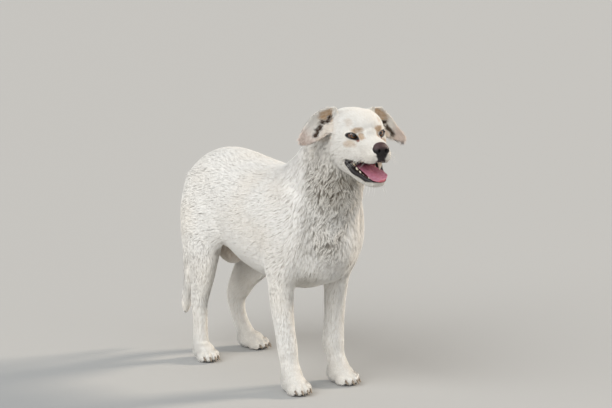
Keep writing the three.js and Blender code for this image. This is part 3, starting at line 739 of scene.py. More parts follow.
@dataclass
class Anatomy:
    """The masses of the whole dog and the fields that they make."""

    head: Head = field(default_factory=Head)
    leg_blend: float = 34.0  # widths of the joins with the torso
    tail_blend: float = 20.0
    head_blend: float = 26.0
    tail_thins: tuple[float, float] = (160.0, 95.0)  # heights between which the tail's hair thins

    def __post_init__(self) -> None:
        """Builds the masses."""
        self.trunk = Sweep(
            [
                (0, -98, 404, 70, 76, 92),
                (0, -82, 401, 88, 100, 110),
                (0, -46, 396, 99, 134, 132),
                (0, 0, 398, 106, 150, 152),
                (0, 60, 400, 112, 142, 157),
                (0, 130, 404, 117, 136, 155),
                (0, 200, 410, 115, 133, 150),
                (0, 270, 422, 107, 127, 137),
                (0, 340, 436, 97, 120, 116),
                (0, 400, 442, 90, 111, 104),
                (0, 450, 438, 80, 92, 90),
                (0, 490, 424, 60, 66, 70),
            ],
            power=2.15,
            cap=0.7,
        )
        self.neck = Sweep(
            [
                (0, 70, 440, 88, 84, 70),
                (0, 5, 484, 94, 86, 92),
                (-1, -52, 536, 88, 80, 104),
                (-5, -98, 590, 77, 72, 92),
                (-8, -134, 638, 66, 60, 72),
            ],
            facing=(0, 0.75, 0.65),
            cap=0.7,
        )
        self.tail = Sweep(
            [
                (0, 462, 462, 36, 42, 42),
                (-2, 514, 450, 35, 38, 38),
                (-6, 548, 414, 31, 30, 32),
                (-12, 561, 364, 28, 26, 28),
                (-18, 558, 300, 26, 23, 25),
                (-23, 550, 240, 24, 22, 24),
                (-27, 546, 187, 21, 20, 22),
                (-29, 556, 145, 18, 17, 19),
                (-30, 566, 112, 15, 14, 16),
                (-29, 572, 88, 7, 7, 8),
            ],
            facing=(0, -1, 0),
            cap=0.8,
        )
        self.torso = [
            (self.trunk, 1.0),
            (self.neck, 60.0),
            (Ball([5, -113, 522], [57, 50, 86]), 44.0),
            (Ball([-78, -44, 424], [32, 54, 80], power=2.2), 40.0),
            (Ball([75, -44, 424], [28, 47, 80], power=2.2), 40.0),
            (Ball([12, 398, 312], [44, 58, 70]), 34.0),
            *both_sides(
                lambda s: [
                    (Ball([s * 76, 44, 312], [22, 30, 32]), 26.0),
                    (Ball([s * 88, 322, 352], [20, 44, 50]), 34.0),
                ]
            ),
        ]
        self.legs = {name: Sweep(rows, facing=(0, -1, 0), cap=0.5) for name, rows in LEGS.items()}
        self.paws = {
            "fore_right": Paw(-76, -36, -4),
            "fore_left": Paw(77, -14, 6),
            "hind_right": Paw(-84, 386, -5, 0.95),
            "hind_left": Paw(90, 434, 22, 0.95),
        }

    def outline(self, points: Array) -> Array:
        """Gives the field whose zero is the outline of the coat.

        Args:
            points: Points in the dog's frame, in millimetres.

        Returns:
            One distance for each point, negative inside.
        """
        value = shape(self.torso, points)
        for name, leg in self.legs.items():
            limb = shape([(leg, 1.0), *self.paws[name].masses()], points)
            value = smooth_min(value, limb, self.leg_blend)
        value = smooth_min(value, shape([(self.tail, 1.0)], points), self.tail_blend)
        return smooth_min(value, self.head.field(points), self.head_blend)

    def weights(self, points: Array) -> dict[Region, Array]:
        """Says how much each point belongs to each region, the later ones laid over.

        Args:
            points: Points in the dog's frame, in millimetres.

        Returns:
            A share from 0 to 1 for each point, by region.
        """
        q = self.head.local(points)
        x, y, z = points.T
        off_trunk = self.trunk.distance(points)
        on_head = 1 - ease((q[:, 1] - 96) * 0.9 - (q[:, 2] + 10) * 0.43, -42, 36)
        breast = ease(y, -74, -112) * ease(z, 300, 375)
        breast *= 1 - 0.7 * ease(x - 0.4 * (z - 340), -28, -8) * ease(z, 520, 480)
        reach = np.abs(q[:, 0])
        flap = ease(reach, 54, 68) * ease(q[:, 1], 45, 60) * (1 - ease(q[:, 1], 112, 124))
        groin = np.exp(-(((points - [12, 392, 296]) / [42, 66, 52]) ** 2).sum(axis=1))
        return {
            Region.LEG: ease(off_trunk, 4, 42) * (1 - ease(z, 290, 350)) * (1 - groin),
            Region.PAW: 1 - ease(z, 45, 100),
            Region.TAIL: ease(y, 505, 545) * ease(off_trunk, 0, 20),
            Region.RUFF: breast * (1 - ease(z, 575, 700)),
            Region.CROWN: on_head,
            Region.FACE: on_head * (1 - ease(q[:, 1], 8, 62)),
            Region.EAR: on_head * flap,
        }

    def by_leg(self, points: Array) -> list[tuple[Sweep, Array]]:
        """Gives each leg with the points of its quarter of the body.

        Args:
            points: Points in the dog's frame, in millimetres.

        Returns:
            Each leg and which of the points are its own.
        """
        left, behind = points[:, 0] > 0, points[:, 1] > 200
        return [
            (leg, (left == name.endswith("left")) & (behind == name.startswith("hind")))
            for name, leg in self.legs.items()
        ]

    @staticmethod
    def above_withers(points: Array) -> Array:
        """Gives how far each point lies on the neck's side of a slant through the withers."""
        return -(points[:, 1] - 30) * 0.54 + (points[:, 2] - 550) * 0.84

    def growth(self, points: Array) -> Array:
        """Mixes the regions' growth at each point, one column for each number.

        Args:
            points: Points in the dog's frame, in millimetres.

        Returns:
            The numbers of `Growth`, in their order, for each point.
        """
        weights = self.weights(points)
        mixed = np.tile(GROWTH[Region.TRUNK].numbers(), (len(points), 1))
        for region, weight in weights.items():
            mixed += (np.array(GROWTH[region].numbers()) - mixed) * weight[:, None]
        thin = weights[Region.TAIL] * ease(points[:, 2], *self.tail_thins)
        mixed[:, 0] *= 1 - 0.7 * thin
        mixed[:, 1] *= 1 - 0.6 * thin
        return mixed

    def bare(self, points: Array) -> Array:
        """Says how bare of hair each point is, from 0 to 1.

        Args:
            points: Points in the dog's frame, in millimetres.

        Returns:
            A share for each point.
        """
        q = self.head.local(points)
        out = np.zeros(len(points))
        near = np.all(np.abs(q - [0, -10, -50]) < [80, 110, 90], axis=1)
        q = q[near]
        mouth = (1 - ease(self.head.mouth.distance(q), 1.5, 5.0)) * (1 - ease(q[:, 1], 14, 26))
        throat = 1 - ease(self.head.throat.distance(q), 2.0, 6.0)
        lips = 1 - ease(np.minimum(*[lip.distance(q) for lip in self.head.lips]), 1.5, 4.5)
        lips *= 1 - ease(-q[:, 2], 103, 106) * ease(-q[:, 1], 36, 50)
        below_nose = (1 - ease(np.abs(q[:, 0] + 1), 11, 15)) * (1 - ease(q[:, 1], -66, -56))
        below_nose *= (1 - ease(q[:, 2], -44, -38)) * ease(q[:, 2], -58, -52)
        nose = 1 - ease(shape(self.head.nose, q), 0.8, 3.2)
        rim = 1 - ease(self.head.from_lids(q), 1.5, 4.5)
        out[near] = np.maximum.reduce([mouth, throat, lips, nose, rim, below_nose])
        return out

    def skin(self, points: Array) -> Array:
        """Gives the field whose zero is the skin."""
        return self.outline(points) + self.growth(points)[:, 0] * (1 - self.bare(points))

    def lie(self, points: Array, normals: Array) -> Array:
        """Gives the direction that hair lies in at each point of the skin.

        Args:
            points: Points of the skin.
            normals: The skin's outward directions there.

        Returns:
            Unit directions along the skin.
        """
        weights = self.weights(points)
        z = points[:, 2]
        q = self.head.local(points)
        down = np.tile([0.0, 0.0, -1.0], (len(points), 1))
        flank = np.abs(normals[:, 0])[:, None]
        breast = ease(-normals[:, 1], 0.2, 0.8)[:, None]
        way = self.trunk.heading(points) + down * (0.45 * flank + 1.6 * breast)
        leg_way = np.zeros_like(points)
        for leg, mine in self.by_leg(points):
            if mine.any():
                leg_way[mine] = leg.heading(points[mine])
        neck_way = -self.neck.heading(points) + down * 0.7
        back_swept = np.array([0.0, 1.0, 0.0]) + np.array([0.0, 0.0, -0.45]) * (np.abs(q[:, :1]) > 20)
        back_swept = back_swept @ self.head.turn.T
        ear_way = np.zeros_like(points)
        for name, ear in self.head.ears.items():
            mine = (q[:, 0] > 0) == name.endswith("left")
            if mine.any():
                ear_way[mine] = ear.heading(q[mine]) @ self.head.turn.T
        toes = np.array([0.0, -1.0, -0.5])
        for region, new in (
            (Region.LEG, leg_way + [0.0, 0.12, 0.0]),
            (Region.PAW, toes * ease(z, 60, 20)[:, None] + leg_way * ease(z, 20, 60)[:, None]),
            (Region.TAIL, self.tail.heading(points)),
            (Region.RUFF, neck_way),
            (Region.CROWN, back_swept),
            (Region.EAR, ear_way),
        ):
            way += (new - way) * weights[region][:, None]
        above = ease(self.above_withers(points), -40, 30) * (1 - weights[Region.CROWN])
        way += (neck_way - way) * above[:, None]
        off_lids = self.head.from_lids(q)
        by_eye = off_lids < 16
        if by_eye.any():
            near, lids = q[by_eye], self.head.from_lids
            rise = [lids(near + step) - lids(near - step) for step in 0.5 * np.eye(3)]
            away = unit(np.stack(rise, axis=1)) @ self.head.turn.T
            way[by_eye] += away * (1.8 * (1 - ease(off_lids[by_eye], 2, 16)))[:, None]
        along = dot(unit(way), normals)
        return unit(way - (dot(way, normals) * (1 - 0.8 * ease(along, 0.55, 0.95)))[:, None] * normals)


# ---------------- meshes from fields


@dataclass
class Surface:
    """Points, quads or triangles, and outward directions."""

    points: Array
    faces: Array
    normals: Array = field(default_factory=lambda: np.zeros((0, 3)))

    def triangles(self) -> Array:
        """Gives the faces as triangles.

        Returns:
            Three numbers of points for each.
        """
        if self.faces.shape[1] == 3:
            return self.faces
        return np.vstack([self.faces[:, [0, 1, 2]], self.faces[:, [0, 2, 3]]])

    def with_normals(self) -> "Surface":
        """Works out the direction of each point from the faces about it.

        Returns:
            The surface itself.
        """
        t = self.triangles()
        a, b, c = (self.points[t[:, i]] for i in range(3))
        area = np.cross(b - a, c - a)
        total = np.zeros_like(self.points)
        for i in range(3):
            np.add.at(total, t[:, i], area)
        self.normals = unit(total)
        return self


def lines(*runs: tuple[float, float, float]) -> Array:
    """Gives rising grid lines from runs of start, stop and spacing."""
    return np.concatenate([np.arange(start, stop, spacing) for start, stop, spacing in runs])


@dataclass
class Net:
    """Draws the zero surface of a field on a grid of uneven lines."""

    axes: list[Array]
    coarse: int = 4  # lines skipped in the first pass
    batch: int = 200_000

    def sample(self, f: Field) -> Array:
        """Gives the field on the grid, exact only near its zero.

        Args:
            f: The field.

        Returns:
            Its values on the grid.
        """
        rough_axes = [a[:: self.coarse] for a in self.axes]
        rough = np.stack(np.meshgrid(*rough_axes, indexing="ij"), -1)
        values = self.evaluate(f, rough.reshape(-1, 3)).reshape(rough.shape[:3])
        cell = max(np.diff(a).max() for a in rough_axes)
        for axis, line in enumerate(self.axes):
            nearest = (np.arange(len(line)) + self.coarse // 2) // self.coarse
            values = np.take(values, np.minimum(nearest, values.shape[axis] - 1), axis=axis)
        near = np.abs(values) < cell * 1.35
        spots = np.argwhere(near)
        points = np.stack([self.axes[i][spots[:, i]] for i in range(3)], axis=1)
        values[near] = self.evaluate(f, points)
        return values

    def evaluate(self, f: Field, points: Array) -> Array:
        """Runs a field over many points in batches."""
        starts = range(0, len(points), self.batch)
        return np.concatenate([f(points[s : s + self.batch]) for s in starts])

    def surface(self, f: Field) -> Surface:
        """Makes the surface, its points drawn on to the field's zero.

        Args:
            f: The field, negative inside.

        Returns:
            A closed surface of quads.
        """
        values = self.sample(f)
        inside = values < 0
        shape3 = tuple(n - 1 for n in values.shape)
        corners = [(a, b, c) for a in (0, 1) for b in (0, 1) for c in (0, 1)]
        count = np.zeros(shape3, np.uint8)
        for a, b, c in corners:
            count += inside[a : a + shape3[0], b : b + shape3[1], c : c + shape3[2]]
        crossed = (count > 0) & (count < 8)
        number = np.full(shape3, -1, np.int64)
        cells = np.argwhere(crossed)
        number[crossed] = np.arange(len(cells))
        total, hits = np.zeros((len(cells), 3)), np.zeros(len(cells))
        for corner in corners:
            for axis in range(3):
                if corner[axis]:
                    continue
                other = list(corner)
                other[axis] = 1
                v1 = values[tuple((cells + corner).T)]
                v2 = values[tuple((cells + other).T)]
                cut = (v1 < 0) != (v2 < 0)
                t = np.zeros(len(cells))
                t[cut] = v1[cut] / (v1[cut] - v2[cut])
                p = np.stack([self.axes[d][cells[:, d] + corner[d]] for d in range(3)], axis=1)
                line = self.axes[axis]
                p[:, axis] += t * (line[cells[:, axis] + 1] - line[cells[:, axis]])
                total[cut] += p[cut]
                hits[cut] += 1
        points = total / hits[:, None]
        surface = Surface(self.draw_on(f, points), self.quads(inside, number))
        return surface.with_normals()

    @staticmethod
    def quads(inside: Array, number: Array) -> Array:
        """Joins the four cells round each crossed grid edge.

        Args:
            inside: Whether each grid point is inside.
            number: Each cell's point, -1 for none.

        Returns:
            The quads, facing out.
        """
        out = []
        for axis in range(3):
            b, c = (axis + 1) % 3, (axis + 2) % 3
            turned = np.moveaxis(inside, axis, 0)
            edges = np.argwhere(np.moveaxis(turned[:-1] != turned[1:], 0, axis))
            good = (edges[:, b] > 0) & (edges[:, c] > 0)
            good &= (edges[:, b] < inside.shape[b] - 1) & (edges[:, c] < inside.shape[c] - 1)
            edges = edges[good]

            def cell(db: int, dc: int) -> Array:
                """Gives the number of the cell one step back on two axes, or none.

                Args:
                    db: 1 to step back on the second axis.
                    dc: 1 to step back on the third axis.

                Returns:
                    The number, -1 for none.
                """
                spot = edges.copy()
                spot[:, b] -= db
                spot[:, c] -= dc
                return number[tuple(spot.T)]

            quad = np.stack([cell(1, 1), cell(0, 1), cell(0, 0), cell(1, 0)], axis=1)
            flip = ~inside[tuple(edges.T)]
            quad[flip] = quad[flip][:, ::-1]
            out.append(quad)
        return np.vstack(out)

    def draw_on(self, f: Field, points: Array, reach: float = 1.2) -> Array:
        """Moves points along the field's slope to its zero, by at most `reach`.

        Args:
            f: The field.
            points: The points to move.
            reach: The most that one moves.

        Returns:
            The moved points.
        """
        step = 0.4
        value = self.evaluate(f, points)
        slope = np.stack([self.evaluate(f, points + step * e) - value for e in np.eye(3)], axis=1) / step
        size = dot(slope, slope)
        move = -slope * (value / np.maximum(size, 0.2))[:, None]
        length = np.linalg.norm(move, axis=1, keepdims=True)
        return points + move * np.minimum(1.0, reach / (length + 1e-9))


def lathe(rings: Array) -> Surface:
    """Joins rings of equal count in order and closes both ends with a fan.

    Args:
        rings: Rings by points by three.

    Returns:
        A closed surface of triangles.
    """
    count, sides = rings.shape[:2]
    points = np.vstack([rings.reshape(-1, 3), rings[0].mean(axis=0), rings[-1].mean(axis=0)])
    j = np.arange(sides)
    k = (j + 1) % sides
    faces = []
    for i in range(count - 1):
        a, b = i * sides, (i + 1) * sides
        faces += [np.stack([a + j, a + k, b + k], axis=1), np.stack([a + j, b + k, b + j], axis=1)]
    first, last, end = count * sides, count * sides + 1, (count - 1) * sides
    faces += [np.stack([np.full(sides, first), k, j], axis=1)]
    faces += [np.stack([np.full(sides, last), end + j, end + k], axis=1)]
    surface = Surface(points, np.vstack(faces)).with_normals()
    middle = points.mean(axis=0)
    if dot(surface.normals, points - middle).mean() < 0:
        surface.faces = surface.faces[:, ::-1]
        surface.normals = -surface.normals
    return surface


def merge(parts: Sequence[Surface]) -> Surface:
    """Puts surfaces of triangles together as one.

    Args:
        parts: The surfaces.

    Returns:
        The one surface.
    """
    starts = np.cumsum([0] + [len(p.points) for p in parts[:-1]])
    faces = np.vstack([p.triangles() + s for p, s in zip(parts, starts)])
    return Surface(np.vstack([p.points for p in parts]), faces, np.vstack([p.normals for p in parts]))


def make_piece(
    name: str,
    surface: Surface,
    material: Material,
    values: dict[str, Array] | None = None,
    uv: Array | None = None,
    shaded: bool = False,
) -> bpy.types.Object:
    """Makes a smooth mesh piece that rides on the body.

    Args:
        name: The piece's name.
        surface: Its shape in the dog's frame, in millimetres.
        material: Its finish.
        values: Numbers for each point by name, read by the finish.
        uv: A place for each point on the baking map.
        shaded: Whether the surface's own directions shade it.

    Returns:
        The new object.
    """
    mesh = bpy.data.meshes.new(name)
    faces = surface.faces
    mesh.vertices.add(len(surface.points))
    mesh.vertices.foreach_set("co", ((surface.points - FLOOR_POINT) * MM).astype(np.float32).ravel())
    mesh.loops.add(faces.size)
    mesh.loops.foreach_set("vertex_index", faces.astype(np.int32).ravel())
    mesh.polygons.add(len(faces))
    mesh.polygons.foreach_set("loop_start", np.arange(0, faces.size, faces.shape[1], dtype=np.int32))
    mesh.update(calc_edges=True)
    mesh.shade_smooth()
    for key, numbers in (values or {}).items():
        layer = mesh.attributes.new(key, "FLOAT", "POINT")
        layer.data.foreach_set("value", np.asarray(numbers, np.float32))
    if uv is not None:
        layer = mesh.uv_layers.new(name="OFBake")
        layer.data.foreach_set("uv", uv[faces.ravel()].astype(np.float32).ravel())
    if shaded:
        mesh.normals_split_custom_set_from_vertices(surface.normals)
    mesh.materials.append(material)
    piece = bpy.data.objects.new(name, mesh)
    bpy.context.scene.collection.objects.link(piece)
    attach(piece, BODY)
    log.info("%s: %d faces", name, len(faces))
    return piece


# ---------------- shader building


class Wire:
    """A node's output that takes part in sums."""

    def __init__(self, tree: "Tree", socket: bpy.types.NodeSocket | None) -> None:
        """Keeps the socket and its tree."""
        self.tree = tree
        self.socket = socket

    def maths(self, operation: str, *others: Number) -> "Wire":
        """Adds a Math node on this value."""
        inputs = dict(enumerate((self, *others)))
        return self.tree.node("ShaderNodeMath", {"operation": operation}, inputs)

    def __add__(self, other: Number) -> "Wire":
        """Adds."""
        return self.maths("ADD", other)

    __radd__ = __add__

    def __sub__(self, other: Number) -> "Wire":
        """Takes away."""
        return self.maths("SUBTRACT", other)

    def __rsub__(self, other: float) -> "Wire":
        """Takes this value from a number."""
        return self.tree.node("ShaderNodeMath", {"operation": "SUBTRACT"}, {0: other, 1: self})

    def __mul__(self, other: Number) -> "Wire":
        """Multiplies."""
        return self.maths("MULTIPLY", other)

    __rmul__ = __mul__

    def ease(self, low: float, high: float) -> "Wire":
        """Rises smoothly from 0 at `low` to 1 at `high`.

        Args:
            low: Where it leaves 0.
            high: Where it reaches 1.

        Returns:
            The eased value.
        """
        settings = {"interpolation_type": "SMOOTHSTEP"}
        inputs = {"Value": self, "From Min": low, "From Max": high}
        return self.tree.node("ShaderNodeMapRange", settings, inputs, "Result")


class Tree:
    """A material's nodes, built from its principled shader outward."""

    def __init__(self, name: str) -> None:
        """Makes an empty material.

        Args:
            name: The material's name.
        """
        self.material = bpy.data.materials.new(name)
        self.material.use_nodes = True
        self.nodes = self.material.node_tree.nodes
        self.nodes.clear()

    def node(
        self,
        kind: str,
        settings: dict | None = None,
        inputs: dict | None = None,
        output: str | int = 0,
    ) -> Wire:
        """Adds a node.

        Args:
            kind: The node's type.
            settings: Its properties, set first; "stops" holds a ramp's colours.
            inputs: Values or wires by socket name or number.
            output: The socket to give back.

        Returns:
            The chosen output, empty where the node has none.
        """
        node = self.nodes.new(kind)
        for key, value in (settings or {}).items():
            if key == "stops":
                self.set_stops(node.color_ramp, value)
            else:
                setattr(node, key, value)
        for key, value in (inputs or {}).items():
            if isinstance(value, Wire):
                self.material.node_tree.links.new(value.socket, node.inputs[key])
            else:
                socket = node.inputs[key]
                solid = isinstance(value, tuple) and len(socket.default_value) == 4
                socket.default_value = (*value, 1.0) if solid else value
        return Wire(self, node.outputs[output] if node.outputs else None)

    @staticmethod
    def set_stops(ramp: bpy.types.ColorRamp, stops: Sequence[tuple[float, Colour]]) -> None:
        """Gives a ramp its stops.

        Args:
            ramp: The ramp.
            stops: Places and colours.
        """
        while len(ramp.elements) < len(stops):
            ramp.elements.new(0.5)
        for element, (position, colour) in zip(ramp.elements, stops):
            element.position = position
            element.color = (*colour, 1.0)

    def value(self, name: str) -> Wire:
        """Reads a number that the mesh carries."""
        return self.node("ShaderNodeAttribute", {"attribute_name": name}, output="Fac")

    def here(self) -> Wire:
        """Gives the place on the object, in metres."""
        return self.node("ShaderNodeTexCoord", output="Object")

    def noise(self, scale: float, detail: float = 2.0, stretch: Sequence[float] = (1, 1, 1)) -> Wire:
        """Gives smooth noise, `scale` waves to the metre, squeezed by `stretch`.

        Args:
            scale: Waves to the metre.
            detail: Layers of finer noise.
            stretch: How much each axis is squeezed.

        Returns:
            The noise.
        """
        squeezed = {0: self.here(), 1: tuple(stretch)}
        place = self.node("ShaderNodeVectorMath", {"operation": "MULTIPLY"}, squeezed)
        inputs = {"Vector": place, "Scale": scale, "Detail": detail, "Roughness": 0.5}
        return self.node("ShaderNodeTexNoise", inputs=inputs, output="Fac")

    def cells(self, scale: float) -> Wire:
        """Gives the distance from the middle of small cells."""
        inputs = {"Vector": self.here(), "Scale": scale}
        return self.node("ShaderNodeTexVoronoi", inputs=inputs, output="Distance")

    def mix(self, factor: Wire | float, a: Wire | Colour, b: Wire | Colour) -> Wire:
        """Mixes two colours."""
        return self.node("ShaderNodeMix", {"data_type": "RGBA"}, {0: factor, 6: a, 7: b}, 2)

    def layers(self, colour: Wire | Colour, **over: Colour) -> Wire:
        """Lays colours over a first one, each where the marking of its name is.

        Args:
            colour: The first colour.
            over: Colours by marking.

        Returns:
            The mixed colour.
        """
        for name, value in over.items():
            colour = self.mix(self.value(name), colour, value)
        return colour

    def tint(self, colour: Wire, by: Wire | Colour) -> Wire:
        """Darkens or lightens a colour by a number or another colour."""
        settings = {"data_type": "RGBA", "blend_type": "MULTIPLY"}
        return self.node("ShaderNodeMix", settings, {0: 1.0, 6: colour, 7: by}, 2)

    def bump(self, height: Wire, distance: float, strength: float = 1.0) -> Wire:
        """Makes a bumpy direction, `distance` metres high."""
        inputs = {"Height": height, "Distance": distance, "Strength": strength}
        return self.node("ShaderNodeBump", inputs=inputs, output="Normal")

    def finish(self, **inputs: Wire | float | Colour) -> Material:
        """Adds the principled shader and the output.

        Args:
            inputs: The shader's sockets, with _ for the spaces in their names.

        Returns:
            The material.
        """
        named = {key.replace("_", " "): value for key, value in inputs.items()}
        shader = self.node("ShaderNodeBsdfPrincipled", inputs=named, output="BSDF")
        self.node("ShaderNodeOutputMaterial", inputs={"Surface": shader})
        return self.material


# ---------------- finishes


@dataclass(frozen=True)
class CoatFinish:
    """Pale straight hair, darker at the root, with tan and umber marks, painted shade between its locks and
    painted shadows.
    """

    name: str = "pale hair"
    tip: Colour = (0.86, 0.845, 0.805)
    cream: Colour = (0.80, 0.73, 0.63)
    # tint toward the root: painted shade deep in the coat
    root: Colour = (0.84, 0.80, 0.74)
    # painted shade between the locks, over some darker undercoat
    under: Colour = (0.13, 0.105, 0.075)
    # colour of painted shadows
    olive: Colour = (0.27, 0.235, 0.17)
    tan: Colour = (0.50, 0.335, 0.20)
    rust: Colour = (0.22, 0.06, 0.035)
    umber: Colour = (0.04, 0.022, 0.013)
    rose: Colour = (0.66, 0.50, 0.42)

    def material(self) -> Material:
        """Builds the finish.

        Returns:
            The material.
        """
        t = Tree(self.name)
        along, fleck, under = t.value("along"), t.value("fleck"), t.value("under")
        colour = t.mix(t.value("warm") * 0.6 + fleck * 0.25, self.tip, self.cream)
        colour = t.mix(t.value("rose"), colour, self.rose)
        colour = t.mix(t.value("tan") * (0.72 + fleck * 0.5), colour, self.tan)
        # "shade" lays painted shadows in olive.
        colour = t.layers(colour, umber=self.umber, rust=self.rust, shade=self.olive)
        # The hair darkens toward its root: painted shade deep in the coat.
        colour = t.mix((1 - along).ease(0.5, 1.0), colour, t.tint(colour, self.root))
        # Painted shade in the valleys between the ruff's locks, strongest at the roots.
        colour = t.mix(under * (1 - along * 0.35).ease(0.1, 0.9), colour, self.under)
        tone = 0.94 + t.noise(60.0, 3.0) * 0.12
        return t.finish(
            Base_Color=t.tint(colour, tone),
            Roughness=0.68,
            Specular_IOR_Level=0.2,
            Sheen_Weight=0.1,
            Sheen_Roughness=0.5,
        )


@dataclass(frozen=True)
class SkinFinish:
    """Undercoat over skin with painted shade and shadows, black lips and rims, and the wet lining of the
    mouth, painted darker toward its back.
    """

    name: str = "skin and undercoat"
    undercoat: Colour = (0.76, 0.73, 0.67)
    shadow: Colour = (0.15, 0.12, 0.09)
    tan: Colour = (0.44, 0.29, 0.17)
    umber: Colour = (0.07, 0.04, 0.03)
    rust: Colour = (0.20, 0.055, 0.035)
    rose: Colour = (0.56, 0.38, 0.31)
    black: Colour = (0.018, 0.015, 0.016)
    lining: Colour = (0.33, 0.075, 0.075)
    # dark red for mottling of the lining and for painted shade at the back of the mouth
    deep: Colour = (0.075, 0.018, 0.016)
    pad: Colour = (0.05, 0.04, 0.038)

    def material(self) -> Material:
        """Builds the finish.

        Returns:
            The material.
        """
        t = Tree(self.name)
        black, lining, pad = t.value("black"), t.value("lining"), t.value("pad")
        colour = t.layers(self.undercoat, under=self.shadow, shade=self.shadow, rose=self.rose)
        colour = t.layers(colour, tan=self.tan, umber=self.umber, rust=self.rust)
        mottled = t.mix(t.noise(120.0, 3.0).ease(0.55, 0.7) * 0.5, self.lining, self.deep)
        # Painted shade: the lining darkens toward the back of the mouth.
        inside = t.mix(t.value("deep"), mottled, self.deep)
        colour = t.mix(lining, colour, inside)
        colour = t.mix(black, colour, self.black)
        colour = t.mix(pad, colour, self.pad)
        wet = lining * 0.9 + black * 0.6
        nap = t.noise(900.0, 3.0, stretch=(1.0, 0.25, 0.5)) * (1 - lining) * (1 - black)
        folds = t.value("ridge") * 1.6 + t.noise(420.0, 3.0) * (black * 0.35 + lining * 0.25 + pad * 0.8)
        return t.finish(
            Base_Color=colour,
            Roughness=0.85 - wet * 0.5,
            Coat_Weight=wet * 0.25,
            Coat_Roughness=0.15,
            Specular_IOR_Level=0.25,
            Normal=t.bump(nap * 0.5 + folds, 0.0011),
        )


@dataclass(frozen=True)
class EyeFinish:
    """A wet brown eye with a dark rim, and amber painted light on the iris."""

    name: str = "brown eye"
    pupil: Colour = (0.004, 0.003, 0.003)
    iris: Colour = (0.06, 0.023, 0.008)
    # amber where light is painted on the iris
    amber: Colour = (0.30, 0.115, 0.025)
    limbus: Colour = (0.02, 0.009, 0.006)
    white: Colour = (0.11, 0.055, 0.035)

    def material(self) -> Material:
        """Builds the finish; "polar" is degrees from the middle of the pupil.

        Returns:
            The material.
        """
        t = Tree(self.name)
        polar = t.value("polar")
        fibres = t.noise(1400.0, 3.0)
        # Painted light: the iris turns amber where "low" says light falls on it.
        iris = t.mix(t.value("low") * 0.75 + fibres * 0.25, self.iris, self.amber)
        colour = t.mix((polar + fibres * 2.0).ease(19.5, 22.5), self.pupil, iris)
        colour = t.mix(polar.ease(29.0, 35.0), colour, self.limbus)
        colour = t.mix(polar.ease(39.0, 46.0), colour, self.white)
        return t.finish(Base_Color=colour, Roughness=0.12, Coat_Weight=1.0, Coat_Roughness=0.02)


@dataclass(frozen=True)
class RimFinish:
    """The wet black edge of an eyelid."""

    name: str = "eyelid edge"
    black: Colour = (0.012, 0.009, 0.009)
    brown: Colour = (0.055, 0.022, 0.016)

    def material(self) -> Material:
        """Builds the finish.

        Returns:
            The material.
        """
        t = Tree(self.name)
        wear = t.noise(700.0, 3.0)
        return t.finish(
            Base_Color=t.mix(wear.ease(0.45, 0.75), self.black, self.brown),
            Roughness=0.34 + wear * 0.1,
            Coat_Weight=0.35,
            Coat_Roughness=0.15,
            Normal=t.bump(wear, 0.0003),
        )


@dataclass(frozen=True)
class NoseFinish:
    """Pebbled black nose leather, browner on its top."""

    name: str = "nose leather"
    black: Colour = (0.009, 0.007, 0.008)
    brown: Colour = (0.08, 0.042, 0.042)

    def material(self) -> Material:
        """Builds the finish.

        Returns:
            The material.
        """
        t = Tree(self.name)
        pebbles = t.cells(760.0)
        top = t.value("top") * (0.65 + t.noise(260.0, 3.0) * 0.6)
        return t.finish(
            Base_Color=t.tint(t.mix(top, self.black, self.brown), 1.12 - pebbles * 0.5),
            Roughness=0.34 + pebbles * 0.22,
            Coat_Weight=0.1,
            Coat_Roughness=0.2,
            Specular_IOR_Level=0.3,
            Normal=t.bump((1 - pebbles) * 0.6 + t.noise(1500.0) * 0.12, 0.0009, 0.8),
        )


@dataclass(frozen=True)
class TongueFinish:
    """Wet rosy tongue, redder to its edge."""

    name: str = "tongue"
    rose: Colour = (0.40, 0.13, 0.19)
    pale: Colour = (0.50, 0.215, 0.285)
    red: Colour = (0.60, 0.10, 0.12)

    def material(self) -> Material:
        """Builds the finish.

        Returns:
            The material.
        """
        t = Tree(self.name)
        grain = t.cells(1100.0)
        colour = t.mix(t.noise(150.0, 3.0).ease(0.4, 0.7), self.rose, self.pale)
        colour = t.mix(t.value("edge"), colour, self.red)
        return t.finish(
            Base_Color=t.tint(colour, 1.08 - grain * 0.3),
            Roughness=0.34 + grain * 0.2,
            Coat_Weight=0.35,
            Coat_Roughness=0.15,
            Normal=t.bump((1 - grain) + t.noise(300.0) * 0.8, 0.0005),
        )


@dataclass(frozen=True)
class ToothFinish:
    """Ivory enamel, yellower towards the gum, and pink gum."""

    name: str = "teeth"
    ivory: Colour = (0.86, 0.79, 0.64)
    stain: Colour = (0.62, 0.46, 0.26)
    gum: Colour = (0.50, 0.15, 0.16)

    def material(self) -> Material:
        """Builds the finish; "crown" rises from 0 at the gum to 1 at the tip.

        Returns:
            The material.
        """
        t = Tree(self.name)
        crown = t.value("crown")
        enamel = t.mix(crown.ease(0.0, 0.75), self.stain, self.ivory)
        colour = t.mix(crown.ease(-0.6, -0.2), self.gum, enamel)
        streaks = t.noise(500.0, 2.0, stretch=(1.0, 1.0, 0.3))
        return t.finish(
            Base_Color=t.tint(colour, 0.94 + streaks * 0.12),
            Roughness=0.20 + streaks * 0.12,
            Coat_Weight=0.3,
            Coat_Roughness=0.08,
            Normal=t.bump(streaks, 0.0003),
        )


